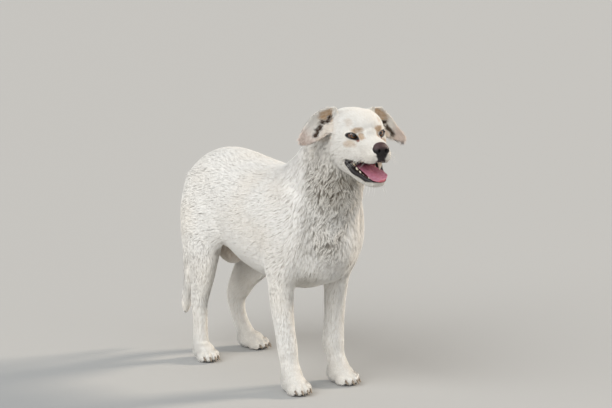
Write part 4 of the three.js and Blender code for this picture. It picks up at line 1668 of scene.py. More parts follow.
@dataclass(frozen=True)
class ClawFinish:
    """Dull horn, paler to the tip."""

    name: str = "horn"
    dark: Colour = (0.07, 0.055, 0.045)
    pale: Colour = (0.42, 0.33, 0.24)

    def material(self) -> Material:
        """Builds the finish.

        Returns:
            The material.
        """
        t = Tree(self.name)
        grain = t.noise(900.0, 3.0, stretch=(1.0, 0.2, 0.2))
        return t.finish(
            Base_Color=t.mix(t.value("along") * 0.5 + grain * 0.3, self.dark, self.pale),
            Roughness=0.38 + grain * 0.2,
            Normal=t.bump(grain, 0.0002),
        )


@dataclass(frozen=True)
class FloorFinish:
    """A plain pale studio floor."""

    name: str = "studio floor"
    pale: Colour = (0.44, 0.44, 0.43)

    def material(self) -> Material:
        """Builds the finish."""
        t = Tree(self.name)
        return t.finish(Base_Color=self.pale, Roughness=0.9, Specular_IOR_Level=0.1)


# ---------------- markings


# Dark streaks in the hollow of an ear: out, up, half width, half height.
STREAKS = (
    (79, 26, 7.5, 5.5),
    (97, -4, 6, 7),
    (92, 5, 6.5, 7),
    (86, 13, 6.5, 6),
    (67, 27, 5, 7),
    (62, 36, 5, 6),
)
# Where painted shade shows between the locks of the ruff, over some darker undercoat, and
# where painted shadows fall: x, y, z, three reaches and a strength.
RUFF_STROKES = (
    (-35, -155, 515, 55, 55, 50, 1.0),
    (-80, -110, 530, 28, 48, 34, 0.8),
    (-70, -118, 462, 34, 45, 32, 0.6),
    (-50, -132, 384, 36, 38, 18, 0.65),
    (65, -120, 500, 45, 50, 60, 0.6),
)
# Painted shadows: under the jaw, between the forelegs and on the front of the neck.
PAINTED_SHADOWS = (
    (-12, -175, 537, 42, 40, 17, 0.45),
    (-48, -60, 285, 30, 60, 24, 0.4),
    (-75, -125, 505, 30, 40, 45, 0.2),
    (-40, -155, 505, 45, 45, 45, 0.28),
)
FRECKLES = ((-14, -59, -8), (-22, -69, -21), (-29, -65, -27), (13, -62, -10), (30, -58, -30))
# Of these, "under" is painted shade between locks and "shade" holds painted shadows.
COAT_MARKS = ("tan", "rust", "umber", "rose", "warm", "under", "shade")  # the markings that hair carries


@dataclass
class Marks:
    """Where the dog's colours, painted shade and painted light lie; skin and coat both read them."""

    dog: Anatomy

    def at(self, points: Array, normals: Array) -> dict[str, Array]:
        """Gives each marking's strength, from 0 to 1, by name.

        Args:
            points: Points of the skin.
            normals: The skin's outward directions there.

        Returns:
            One row of numbers for each marking.
        """
        head = self.dog.head
        q = head.local(points)
        mirrored = np.abs(q[:, 0])
        side = np.sign(q[:, 0])
        x, z = points[:, 0], points[:, 2]
        weights = self.dog.weights(points)
        blotch = Ripple(16.0, 3).at(points) * 0.22

        def spot(centre: Sequence[float], radii: Sequence[float], soft: float = 0.45) -> Array:
            """Gives a soft-edged patch on both sides of the head."""
            away = (np.stack([mirrored, q[:, 1], q[:, 2]], axis=1) - centre) / np.array(radii)
            return 1 - ease(np.linalg.norm(away, axis=1) + blotch, 1 - soft, 1 + soft)

        above_eye = spot((27.5, -8, 12), (12, 22, 7.5)) * 0.85
        below_eye = spot((45.5, -3, -20), (12, 22, 8)) * 0.6
        inner = spot((22, -17, 0), (5.5, 13, 12)) * 0.85
        brow = spot((41, 12, 29), (8, 14, 9)) * 0.3
        # The left side's tan is a fifth stronger: painted warm light on the side that the back light reaches.
        tan = np.clip(np.maximum.reduce([above_eye, below_eye, inner, brow]) * (1.0 + 0.2 * (side > 0)), 0, 1)
        off_lids = head.from_lids(q)
        rust = spot((30.5, -16, -9), (3.6, 11, 6.0), 0.4) * 0.9
        flap, brown, umber, rim = self.ear(q)
        brown, umber = brown * ease(flap, 0.4, 0.8), umber * ease(flap, 0.4, 0.8)
        rose = ease(flap, 0.2, 0.8) * (1 - brown) * (0.08 + 0.62 * rim)
        root = spot((80, 66, -14), (13, 30, 12)) * 0.6
        # Painted warm light: tan on the belly between the hind legs.
        groin = self.patches(points, ((20, 380, 296, 60, 66, 46, 0.75),))
        black, lining, deep, ridge = self.mouth(q)
        black = np.maximum(black, 1 - ease(off_lids, 1.0, 2.6))
        warm = np.clip(0.3 + 0.5 * Ripple(140.0, 8).at(points), 0, 1) * 0.55
        warm = np.maximum(warm, spot((60, 80, -4), (26, 30, 30)) * 0.6)
        freckle = np.max([np.exp(-(((q - f) ** 2).sum(axis=1)) / 5.0) for f in FRECKLES], axis=0)
        strokes = self.patches(points, RUFF_STROKES) * (1 - 0.5 * ease(x, 5, 30))
        painted_shadow = self.patches(points, PAINTED_SHADOWS)
        ruff = weights[Region.RUFF]
        sole = ease(z, 9.0, 4.0) * ease(-normals[:, 2], 0.3, 0.7)
        return {
            "tan": np.maximum.reduce([tan, root * (1 - umber), brown * (1 - umber), groin]),
            "rust": rust,
            "umber": np.maximum(umber, freckle * 0.8),
            "rose": rose,
            "warm": warm,
            # painted shade between the ruff's locks, over some darker undercoat
            "under": ruff * (1 - weights[Region.CROWN]) * (0.35 * ease(z, 640, 540) + 0.65 * strokes),
            # painted shadows, and a slightly greyer tone over the whole ruff
            "shade": np.clip(painted_shadow + 0.16 * ruff, 0, 1),
            "black": black,
            "lining": lining,
            # painted shade deep in the mouth
            "deep": deep,
            "ridge": ridge,
            "pad": sole,
        }

    @staticmethod
    def patches(points: Array, patches: Sequence[Sequence[float]]) -> Array:
        """Gives the strongest of some soft patches: x, y, z, three reaches and a strength."""
        away = [((points - patch[:3]) / np.array(patch[3:6])) ** 2 for patch in patches]
        return np.max([patch[6] * np.exp(-a.sum(axis=1)) for patch, a in zip(patches, away)], axis=0)

    def ear(self, q: Array) -> tuple[Array, Array, Array, Array]:
        """Gives the ear flap, its brown hollow, the darkest part of that and its outer part.

        Args:
            q: Points in the head's frame.

        Returns:
            Four rows of shares.
        """
        flap, brown, umber, rim = (np.zeros(len(q)) for _ in range(4))
        patchy = Ripple(11.0, 14)
        for s, ear in zip((-1, 1), self.dog.head.ears.values()):
            mine = (q[:, 0] * s > 30) & (q[:, 1] > 30) & (q[:, 1] < 130)
            if not mine.any():
                continue
            at = ear.place(q[mine])
            share = at.station / (len(ear.centre) - 1)
            close = 1 - ease(ear.distance(q[mine]), 2.0, 7.0)
            flap[mine] = close * ease(share, 0.03, 0.16)
            rough = patchy.at(q[mine])
            out = np.abs(q[mine, 0]) * (0.94 if s > 0 else 1.0) + 2.0 * rough
            up = q[mine, 2] + (14 if s > 0 else 0) + 1.5 * patchy.at(q[mine] + 40)
            level = at.across / at.size[:, 0] * np.sign(ear.side[0, 2])
            hollow = ease(at.out, -0.6, 0.9) * (1 - ease(level, 0.72, 0.92)) * (1 - ease(-level, 0.8, 1.0))
            brown[mine] = hollow * (1 - ease(out - 87, -5, 6)) * (0.25 + 0.75 * ease(up, 18, 34))
            dark = [np.exp(-(((out - x) / a) ** 2 + ((up - z) / b) ** 2)) for x, z, a, b in STREAKS]
            umber[mine] = np.clip(np.max(dark, axis=0) * 2.1 - 0.15, 0, 1) * hollow
            rim[mine] = ease(share, 0.45, 0.72)
        return flap, brown, umber, rim

    def mouth(self, q: Array) -> tuple[Array, Array, Array, Array]:
        """Gives the black lips, the lining, its back part painted darker as shade, and the ridges of the
        palate.

        Args:
            q: Points in the head's frame.

        Returns:
            Four rows of shares.
        """
        head = self.dog.head
        out = [np.zeros(len(q)) for _ in range(4)]
        near = np.all(np.abs(q - [0, -10, -60]) < [75, 110, 80], axis=1)
        p = q[near]
        gap, throat = head.mouth.distance(p), head.throat.distance(p)
        roll = np.minimum(*[lip.distance(p) for lip in head.lips])
        within = -shape(head.closed, p)
        hem = (1 - ease(gap, 1.0, 2.6)) * (1 - ease(p[:, 1], 15, 24))
        cave = np.maximum(hem, 1 - ease(throat, 1.0, 3.0))
        lining = cave * ease(within, 4.5, 7.5) * ease(roll, 3.0, 5.0)
        pinch = np.exp(-(((p[:, 2] + 49) / 5.0) ** 2))
        front = (1 - ease(np.abs(p[:, 0] + 1), 12 - 4 * pinch, 16 - 4 * pinch)) * ease(p[:, 1], -52, -62)
        front *= ease(p[:, 2], -28, -36) * ease(p[:, 2], -78, -66)
        chin = ease(-p[:, 2], 103.5, 106.5) * ease(-p[:, 1], 36, 50)
        lips = np.maximum.reduce([hem, (1 - ease(roll, 1.8, 4.2)) * (1 - chin), front])
        out[0][near] = np.clip(lips * (1 - lining), 0, 1)
        out[1][near] = lining
        # Painted shade: the lining darkens toward the back of the mouth.
        out[2][near] = lining * ease(p[:, 1], -12, 20)
        out[3][near] = lining * (p[:, 2] > -72) * (0.5 + 0.5 * np.sin(p[:, 1] * 2 * np.pi / 7.5))
        return tuple(out)


# ---------------- sub-assemblies


@dataclass
class Hide:
    """The one skin that stands for every node of flesh."""

    dog: Anatomy
    marks: Marks
    fine: float = 2.26  # grid over the head
    plain: float = 6.0  # grid over the body
    foot: float = 3.4  # grid over the paws
    nodes: tuple[str, ...] = (
        *("trunk", "neck", "head", "lower_jaw", "tail", "ear_right", "ear_left"),
        *("foreleg_right", "foreleg_left", "hind_leg_right", "hind_leg_left"),
        *("fore_paw_right", "fore_paw_left", "hind_paw_right", "hind_paw_left"),
    )

    def field(self, points: Array) -> Array:
        """Gives the skin with room for the eyes and the nose, flat on the floor.

        Args:
            points: Points in the dog's frame, in millimetres.

        Returns:
            One distance for each point, negative inside.
        """
        value = self.dog.skin(points)
        q = self.dog.head.local(points)
        near = np.all(np.abs(q) < [60, 100, 60], axis=1)
        room = np.minimum(self.eye_room(q[near]), shape(self.dog.head.nose, q[near]) + 1.5)
        value[near] = np.maximum(value[near], -room)
        return np.maximum(value, -points[:, 2])

    def eye_room(self, q: Array) -> Array:
        """Gives the space between the lids, in front of the eyes, as a field.

        Args:
            q: Points in the head's frame.

        Returns:
            One distance for each point, negative in the room.
        """
        head = self.dog.head
        best = np.full(len(q), FAR)
        for s in (-1, 1):
            e = head.eye_frame(q, s)
            front = head.sight(e[:, 0], e[:, 2] - head.eye_tilt * e[:, 0] - head.drop, head.eye_radius - 0.4)
            best = np.minimum(best, front - e[:, 1])
        return np.maximum(best, head.from_lids(q))

    def build(self) -> Surface:
        """Builds the skin.

        Returns:
            The skin, for the coat to grow on.
        """
        axes = [
            lines((-156, -104, self.plain), (-104, 84, self.fine), (84, 162, self.plain)),
            lines((-352, -128, self.fine), (-128, 606, self.plain)),
            lines((-6.6, 60, self.foot), (60, 536, self.plain), (536, 745, self.fine)),
        ]
        surface = Net(axes).surface(self.field)
        values = self.marks.at(surface.points, surface.normals)
        piece = make_piece("skin", surface, SkinFinish().material(), values)
        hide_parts(*self.nodes)
        return surface


@dataclass
class Tufts:
    """Roots of hair and what each one grows into."""

    roots: Array
    normals: Array
    lie: Array
    growth: Array


@dataclass
class Coat:
    """The dog's hair as solid tufts in a few pieces."""

    dog: Anatomy
    marks: Marks
    seed: int = 11
    face_limit: int = 190_000
    patch: float = 0.0015  # half of a tuft's patch on the baking map
    crown: float = 0.2  # height of a tuft's back as a share of its width
    roundness: float = 0.5  # how much a tuft's shading turns to its sides
    overhang: float = 3.5  # how far a hair at the end of the tail or an ear may reach out
    sink: float = 5.0  # how far a tip is drawn in
    rise: float = 0.45  # most that a tip is moved, as a share of its length
    waist: float = 0.46  # place of the middle along a tuft
    burial: float = 0.8  # how deep a root goes into the skin
    bald_from: float = 0.45  # bareness past which no hair is planted
    off_floor: float = 3.0  # height below which no hair is planted
    long_from: float = 29.0  # length past which a tuft has a third ring

    def plant(self, skin: Surface) -> Tufts:
        """Scatters roots over the skin by the spacing of each region.

        Args:
            skin: The skin.

        Returns:
            The planted tufts.
        """
        rng = np.random.default_rng(self.seed)
        triangles = skin.triangles()
        a, b, c = (skin.points[triangles[:, i]] for i in range(3))
        area = np.linalg.norm(np.cross(b - a, c - a), axis=1) / 2
        middle = (a + b + c) / 3
        spacing = self.dog.growth(middle)[:, 3]
        bald = (self.dog.bare(middle) > self.bald_from) | (middle[:, 2] < self.off_floor)
        wanted = np.where(bald, 0.0, area / spacing**2)
        count = np.floor(wanted + rng.random(len(wanted))).astype(int)
        owner = np.repeat(np.arange(len(count)), count)
        u, v = rng.random(len(owner)), rng.random(len(owner))
        over = u + v > 1
        u[over], v[over] = 1 - u[over], 1 - v[over]
        w = 1 - u - v
        blend = lambda rows: (
            rows[triangles[owner, 0]] * w[:, None]
            + rows[triangles[owner, 1]] * u[:, None]
            + rows[triangles[owner, 2]] * v[:, None]
        )
        roots, normals = blend(skin.points), unit(blend(skin.normals))
        growth = self.dog.growth(roots)
        lie = self.dog.lie(roots, normals)
        swing = (Ripple(30.0, 21).at(roots) + rng.normal(size=len(roots)) * 0.3) * growth[:, 6]
        turned = lie * np.cos(swing)[:, None] + np.cross(normals, lie) * np.sin(swing)[:, None]
        weights = self.dog.weights(roots)
        ends = np.flatnonzero(np.maximum(weights[Region.TAIL], weights[Region.EAR]) > 0.5)
        keep = np.ones(len(roots), dtype=bool)
        keep[ends] = self.dog.outline(roots[ends] + lie[ends] * growth[ends, 1:2]) < self.overhang
        return Tufts(*(rows[keep] for rows in (roots, normals, turned, growth)))

    def gather(self, tufts: Tufts, rng: np.random.Generator) -> tuple[Array, Array, Array]:
        """Finds the lock that each tuft belongs to.

        Args:
            tufts: All tufts.
            rng: Source of the draws.

        Returns:
            The number of the tuft in the middle of its lock, how far out of the middle
            the tuft is as a share, and one random number for each lock.
        """
        density = (tufts.growth[:, 3] / tufts.growth[:, 5]) ** 2
        chosen = np.flatnonzero(rng.random(len(density)) < density)
        tree = KDTree(len(chosen))
        for i, k in enumerate(chosen):
            tree.insert(tufts.roots[k], i)
        tree.balance()
        found = [tree.find(p)[1:] for p in tufts.roots]
        lock = chosen[[f[0] for f in found]]
        out = np.array([f[1] for f in found]) / (tufts.growth[:, 5] * 0.62)
        return lock, np.clip(out, 0, 1.3), rng.random(len(density))[lock]

    def shape_tufts(self, tufts: Tufts, rng: np.random.Generator) -> tuple[Array, Array, Array, Array]:
        """Lays each tuft along the body between the skin and the outline.

        Args:
            tufts: All tufts.
            rng: Source of the draws.

        Returns:
            The root, middle and tip of each tuft as one array, how deep in the valleys
            between locks each lies, its width, and the way that its back faces.
        """
        count = len(tufts.roots)
        depth, length, width, _, clump, size, _ = tufts.growth.T
        lock, off, luck = self.gather(tufts, rng)
        length = length * rng.uniform(0.78, 1.18, count) * (0.9 + 0.25 * luck)
        length = length * (1 - 0.65 * ease(dot(tufts.lie, tufts.normals), 0.15, 0.6))
        width = width * rng.uniform(0.8, 1.25, count)
        valley = ease(off, 0.45, 1.05) * np.clip(clump * 1.7, 0, 1)
        outward = (tufts.roots - tufts.roots[lock]) / size[:, None]
        facing = unit(tufts.normals + outward * (1.1 * clump)[:, None])
        swirl = unit(tufts.lie + 0.07 * rng.normal(size=(count, 3)))
        tip = tufts.roots + swirl * length[:, None]
        lock_tip = tufts.roots[lock] + tufts.lie[lock] * (length * 1.02)[:, None]
        tip += (lock_tip - tip) * np.minimum(clump, 0.85)[:, None]
        middle = tufts.roots + swirl * (self.waist * length)[:, None]
        lock_middle = tufts.roots[lock] + tufts.lie[lock] * (self.waist * length)[:, None]
        middle += (lock_middle - middle) * np.minimum(clump * 0.7, 0.6)[:, None]
        proud = rng.normal(size=count) * 0.05 + 0.05 * (luck - 0.5)
        proud = (proud + 0.09 * Ripple(52.0, 31).at(tufts.roots)) * (0.35 + 1.3 * clump)
        flat = np.clip(1 - 2.2 * clump, 0, 1)
        for points, level in ((middle, 0.58 + 0.13 * flat), (tip, 0.88 - 0.07 * flat)):
            wanted = -depth * (1 - level) - depth * 0.35 * valley * level + depth * proud * level
            here = self.dog.outline(points)
            most = self.rise * length
            shift = np.clip(wanted - here, -np.minimum(most, self.sink), most)
            points += tufts.normals * shift[:, None]
        root = tufts.roots - tufts.normals * np.minimum(self.burial, depth * 0.4)[:, None]
        way = unit(tip - root)
        aside = unit(np.cross(way, [0.3, 0.2, 1.0]))
        facing = unit(facing - dot(facing, way)[:, None] * way + 0.05 * aside)
        line = np.stack([root, middle, tip], axis=1)
        line[..., 2] = np.maximum(line[..., 2], 1.0)
        return line, valley, width, facing

    def blades(self, line: Array, facing: Array, width: Array, rings: int) -> tuple[Surface, Array]:
        """Makes closed three-sided blades along curved lines.

        Args:
            line: Root, middle and tip of each blade.
            facing: The side that each blade's back is on.
            width: Width of each blade.
            rings: Rings of three points before the tip.

        Returns:
            The blades and the place of each point along its blade.
        """
        root, middle, tip = line[:, 0], line[:, 1], line[:, 2]
        control = 2 * middle - (root + tip) / 2
        stops = {2: [0.0, 0.5], 3: [0.0, 0.34, 0.7]}[rings]
        spans = {2: [0.75, 0.95], 3: [0.7, 1.0, 0.72]}[rings]
        side = unit(np.cross(tip - root, facing))
        points, along, shades = [], [], []
        for t, span in zip(stops, spans):
            centre = (1 - t) ** 2 * root + 2 * t * (1 - t) * control + t**2 * tip
            half = side * (width * span / 2)[:, None]
            crest = facing * (width * span * self.crown)[:, None]
            points += [centre - half, centre + half, centre + crest]
            along += [t, t, t]
            shades += [unit(facing - self.roundness * side), unit(facing + self.roundness * side), facing]
        points.append(tip)
        along.append(1.0)
        shades.append(facing)
        each = len(points)
        faces = [(0, 1, 2)]
        for r in range(rings - 1):
            a, b = 3 * r, 3 * r + 3
            for i, j in ((0, 1), (1, 2), (2, 0)):
                faces += [(a + i, b + j, a + j), (a + i, b + i, b + j)]
        end = 3 * rings - 3
        faces += [(end + i, 3 * rings, end + j) for i, j in ((0, 1), (1, 2), (2, 0))]
        offsets = np.arange(len(root))[:, None, None] * each
        numbered = (np.array(faces)[None] + offsets).reshape(-1, 3)
        stacked = [np.stack(rows, axis=1).reshape(-1, 3) for rows in (points, shades)]
        return Surface(stacked[0], numbered, stacked[1]), np.tile(along, len(root))

    def chart(self, points: Array) -> Array:
        """Unwraps the skin's own shape: round each mass and along it.

        Args:
            points: Roots of tufts.

        Returns:
            A place on the baking map for each root.
        """
        q = self.dog.head.local(points)
        weights = self.dog.weights(points)
        uv = np.zeros((len(points), 2))

        def lay(mask: Array, mass: Sweep, at: Array, column: float, wide: float) -> None:
            """Charts the chosen points round a mass, in a column of the map.

            Args:
                mask: The chosen points.
                mass: The mass.
                at: All points in its frame.
                column: Where the column begins.
                wide: Its width.
            """
            if mask.any():
                place = mass.place(at[mask])
                turn = (place.angle / (2 * np.pi)) % 1.0
                share = place.station / (len(mass.centre) - 1)
                beyond = np.clip(share + place.beyond / 400.0, -0.2, 1.2)
                uv[mask] = np.stack([column + wide * turn, (beyond + 0.2) / 1.4], axis=1)

        on_head = weights[Region.CROWN] > 0.5
        middle = Sweep([(0, -120, 600, 80, 80, 80), (0, -20, 440, 90, 90, 90), (0, 480, 430, 90, 90, 90)])
        lay(~on_head, middle, points, 0.0, 1.0)
        for i, (leg, mine) in enumerate(self.dog.by_leg(points)):
            lay(mine & (weights[Region.LEG] > 0.5) & ~on_head, leg, points, 0.25 * i, 0.25)
        lay(weights[Region.TAIL] > 0.5, self.dog.tail, points, 0.0, 1.0)
        spine = Sweep([(0, 130, -40, 60, 60, 60), (0, -80, -40, 60, 60, 60)])
        lay(on_head, spine, q, 0.0, 0.7)
        for i, ear in enumerate(self.dog.head.ears.values()):
            mine = on_head & (weights[Region.EAR] > 0.5) & ((q[:, 0] > 0) == bool(i))
            lay(mine, ear, q, 0.7 + 0.15 * i, 0.15)
        return np.clip(uv, 0.002, 0.998)

    def build(self, skin: Surface) -> None:
        """Grows the coat in pieces by region.

        Args:
            skin: The skin.
        """
        rng = np.random.default_rng(self.seed + 1)
        tufts = self.plant(skin)
        line, valley, width, facing = self.shape_tufts(tufts, rng)
        seen = tufts.roots + tufts.lie * (0.5 * tufts.growth[:, 1:2])
        marks = self.marks.at(seen, tufts.normals)
        values = {key: marks[key] for key in COAT_MARKS}
        # Painted shade lies only in the valleys between locks.
        values["under"] = values["under"] * np.clip(1.2 * valley - 0.05, 0, 1)
        values["fleck"] = rng.random(len(width)) ** 2
        chart = self.chart(tufts.roots)
        long_hair = tufts.growth[:, 1] > self.long_from
        finish = CoatFinish().material()
        for name, mask in self.regions(tufts).items():
            parts = [(mask & long_hair, 3), (mask & ~long_hair, 2)]
            size = sum(int(m.sum()) * (6 * r - 2) for m, r in parts)
            shares = math.ceil(size / self.face_limit)
            order = tufts.roots[:, 1] if name != "head" else tufts.roots[:, 2]
            edges = np.quantile(order[mask], np.arange(shares + 1) / shares)
            for i in range(shares):
                inside = (order >= edges[i]) & ((order < edges[i + 1]) | (i + 1 == shares))
                label = f"coat_{name}" if shares == 1 else f"coat_{name}_{i + 1}"
                chosen = [(m & inside, r) for m, r in parts]
                self.piece(label, chosen, (line, facing, width, chart, values), finish)

    def regions(self, tufts: Tufts) -> dict[str, Array]:
        """Shares the tufts among the pieces.

        Args:
            tufts: All tufts.

        Returns:
            Which tufts each piece has, by the piece's name.
        """
        w = self.dog.weights(tufts.roots)
        on_head = w[Region.CROWN] > 0.5
        tail = ~on_head & (w[Region.TAIL] > 0.5)
        leg = ~on_head & ~tail & ((w[Region.LEG] > 0.5) | (w[Region.PAW] > 0.5))
        rest = ~on_head & ~tail & ~leg
        neck = rest & ((w[Region.RUFF] > 0.5) | (self.dog.above_withers(tufts.roots) > 0))
        hind = tufts.roots[:, 1] > 200
        left = tufts.roots[:, 0] > 0
        return {
            "head": on_head,
            "neck": neck,
            "side_right": rest & ~neck & ~left,
            "side_left": rest & ~neck & left,
            "forelegs": leg & ~hind,
            "hind_legs": leg & hind,
            "tail": tail,
        }

    def piece(self, name: str, parts: list[tuple[Array, int]], data: tuple, finish: Material) -> None:
        """Makes one piece of the coat from chosen tufts.

        Args:
            name: Its name.
            parts: Which tufts it has, with their number of rings.
            data: Lines, facing, width, places on the map and markings of all tufts.
            finish: Its finish.
        """
        line, facing, width, chart, values = data
        surfaces, numbers, places = [], {key: [] for key in (*values, "along")}, []
        for mask, rings in parts:
            if not mask.any():
                continue
            blades, along = self.blades(line[mask], facing[mask], width[mask], rings)
            each = 3 * rings + 1
            surfaces.append(blades)
            for key in values:
                numbers[key].append(np.repeat(values[key][mask], each))
            numbers["along"].append(along)
            across = np.tile([-1.0, 1.0, 0.0] * rings + [0.0], int(mask.sum()))
            offset = np.stack([across, 2 * along - 1], axis=1) * self.patch
            places.append(np.repeat(chart[mask], each, axis=0) + offset)
        joined = {key: np.concatenate(rows) for key, rows in numbers.items()}
        piece = make_piece(name, merge(surfaces), finish, joined, np.vstack(places), shaded=True)


@dataclass
class EyePair:
    """The eyeballs and the wet edges of their lids."""

    head: Head
    bulge: float = 0.9  # how far the clear front stands out of the ball
    gaze: float = 16.0  # degrees that the eyes look inward of their openings
    bands: int = 40
    sides: int = 48
    rim_steps: int = 72
    rim_sides: int = 10

    def place(self, points: Array, s: int, inward: float = 0.0) -> Array:
        """Takes points of an eye's own frame, which looks along -Y, into the dog's frame."""
        turned = points @ turn_z(s * (self.head.eye_turn - inward)).T
        return self.head.world(turned + np.array(self.head.eye) * [s, 1, 1])

    def ball(self, s: int, name: str, finish: Material) -> None:
        """Makes one eyeball with its clear front a little proud.

        Args:
            s: -1 for the dog's right and 1 for its left.
            name: The name of its node.
            finish: Its finish.
        """
        polar = np.linspace(0.02, np.pi - 0.02, self.bands)
        radius = self.head.eye_radius + self.bulge * np.exp(-((polar / 0.55) ** 2))
        turn = circle(self.sides)
        rings = []
        for a, r in zip(polar, radius):
            side, up = r * np.sin(a) * np.cos(turn), r * np.sin(a) * np.sin(turn)
            rings.append(np.stack([side, np.full(self.sides, -r * np.cos(a)), up], axis=1))
        surface = lathe(np.array(rings))
        angles = np.degrees(np.concatenate([np.repeat(polar, self.sides), [0.0, np.pi]]))
        # Painted light: amber over the lower iris, lit through the clear front, and over all of the left eye,
        # lit by the warm back light.
        low = np.clip(ease(-surface.points[:, 2], -3.0, 4.0) * 0.5 + (s > 0), 0, 1)
        surface.points = self.place(surface.points, s, self.gaze)
        piece = make_piece(name.replace("eye", "eyeball"), surface, finish, {"polar": angles, "low": low})
        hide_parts(name)

    def lids(self, s: int, name: str, finish: Material) -> None:
        """Makes the rolled black edge round one eye.

        Args:
            s: -1 for the dog's right and 1 for its left.
            name: Its name.
            finish: Its finish.
        """
        count, sides = self.rim_steps, self.rim_sides
        turn, power = circle(count), 2 / self.head.lid_power
        inner, outer, above, below = self.head.opening
        toward = bend(np.cos(turn), power) * np.where(np.cos(turn) > 0, inner, outer)
        up = bend(np.sin(turn), power) * np.where(np.sin(turn) > 0, above, below)
        up -= self.head.eye_tilt * toward + self.head.drop
        ahead = self.head.sight(toward, up, self.head.eye_radius + 0.7)
        centre = np.stack([-s * toward, -ahead, up], axis=1)
        along = unit(np.roll(centre, -1, axis=0) - np.roll(centre, 1, axis=0))
        outward = unit(centre)
        across = np.cross(along, outward)
        around = circle(sides)
        thick = 0.8 + 0.35 * np.abs(np.cos(turn)) ** 6 + 0.45 * (np.sin(turn) > 0)
        lift = np.cos(around)[None, :, None] * outward[:, None] * 0.8
        spread = np.sin(around)[None, :, None] * across[:, None] * 1.1
        rings = centre[:, None] + thick[:, None, None] * (lift + spread)
        j = np.arange(sides)
        k = (j + 1) % sides
        pairs = [(sides * i, sides * ((i + 1) % count)) for i in range(count)]
        faces = np.vstack([np.stack([a + j, a + k, b + k, b + j], axis=1) for a, b in pairs])
        surface = Surface(self.place(rings.reshape(-1, 3), s), faces).with_normals()
        if dot(surface.normals.reshape(rings.shape), rings - centre[:, None]).mean() < 0 and s > 0:
            surface.faces = surface.faces[:, ::-1]
        piece = make_piece(name, surface, finish)

    def build(self) -> None:
        """Builds both eyes."""
        eye, rim = EyeFinish().material(), RimFinish().material()
        for s, side in ((-1, "right"), (1, "left")):
            self.ball(s, f"eye_{side}", eye)
            self.lids(s, f"eyelid_edge_{side}", rim)


@dataclass
class Nose:
    """The nose leather with its nostrils and middle groove."""

    head: Head
    cell: float = 0.9  # grid
    slit: tuple = ((9, -90, -29, 2), (14, -87, -33, 1.3), (19, -80, -34, 0.9))  # out, back, up, half height
    groove: tuple = ((0, -90, -22, 0.9, 3, 3), (0, -90, -34, 1.0, 4, 4), (0, -84, -46, 1.0, 4, 4))

    def field(self, p: Array) -> Array:
        """Gives the nose in the head's frame.

        Args:
            p: Points in the head's frame.

        Returns:
            One distance for each point, negative inside.
        """
        value = shape(self.head.nose, p)
        for s in (-1, 1):
            hole = Ball([s * 8.6, -89.5, -28], [3.9, 9, 4.6])
            slit = Sweep([(s * x, y, z, 3, r, r) for x, y, z, r in self.slit])
            value = -smooth_min(-value, hole.distance(p), 1.2)
            value = -smooth_min(-value, slit.distance(p), 0.8)
        groove = Sweep(self.groove, facing=(0, -1, 0))
        return -smooth_min(-value, groove.distance(p), 1.0)

    def build(self) -> None:
        """Builds the nose."""
        c = self.cell
        axes = [np.arange(-27, 27, c), np.arange(-94, -58, c), np.arange(-50, -5, c)]
        surface = Net(axes, coarse=3).surface(self.field)
        p = surface.points
        top = ease(p[:, 2], -28, -17)
        surface.points = self.head.world(p)
        piece = make_piece("nose_leather", surface, NoseFinish().material(), {"top": top})
        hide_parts("nose")


@dataclass(frozen=True)
class Jaw:
    """One row of teeth: its gum line and its teeth.

    The gum line gives out, back and up from the cheek to the middle. A tooth is out,
    back, length, half width, half depth, lean back and lean out, and a last number
    keeps it to the right (-1) or the left (1).
    """

    name: str
    way: int
    gum: tuple[tuple[float, float, float], ...]
    teeth: tuple[tuple[float, ...], ...]


FAR_SIDE = 0.82  # how far the left teeth stand out beside the right ones, as the jaws swing right
UPPER = Jaw(
    "upper_teeth",
    -1,
    ((27, 6, -55), (24, -18, -55), (19, -42, -55), (12, -58, -54), (0, -64, -53)),
    (
        (27, 2, 13, 3.6, 6.5, 0, 1),
        (25.5, -10, 8.5, 3.0, 5.2, 0, 1),
        (23, -21, 8, 2.8, 5, 1, 1),
        (20.5, -32, 7, 2.5, 4.2, 0, 1),
        (16, -46, 9.5, 3.2, 4.4, 3, 0, -1),
        (13.5, -47, 25, 4.8, 5.4, 3, 0, 1),
        (22, -24, 17, 3.4, 5.2, 0, 0, 1),
        (12.0, -58.5, 8.5, 2.6, 2.8, 1, 1),
        (7.4, -62, 7.5, 2.4, 2.6, 0, 0),
        (2.6, -64, 7, 2.3, 2.5, 0, 0),
    ),
)
LOWER = Jaw(
    "lower_teeth",
    1,
    (
        (29, 21, -68),
        (28, 12, -77),
        (26, 1, -88.5),
        (22, -22, -98.5),
        (15, -42, -105),
        (9, -52, -107),
        (0, -55, -107),
    ),
    (
        (28, 15, 10.5, 3.4, 5.8, 0, 1),
        (25.6, 3, 9.5, 3.4, 5.8, 0, 1),
        (23, -10, 9, 3.0, 5.6, 0, 1),
        (20.5, -22, 7.5, 2.7, 4.8, 0, 1),
        (18.2, -32, 6.5, 2.4, 4, 0, 1),
        (14, -45, 15, 3.3, 4.2, 1, 4),
        (9.4, -51.5, 6.5, 2.2, 2.4, -1, 1),
        (5.6, -54, 6, 2.1, 2.3, -1, 0),
        (1.9, -55, 5.5, 2.0, 2.2, -1, 0),
    ),
)


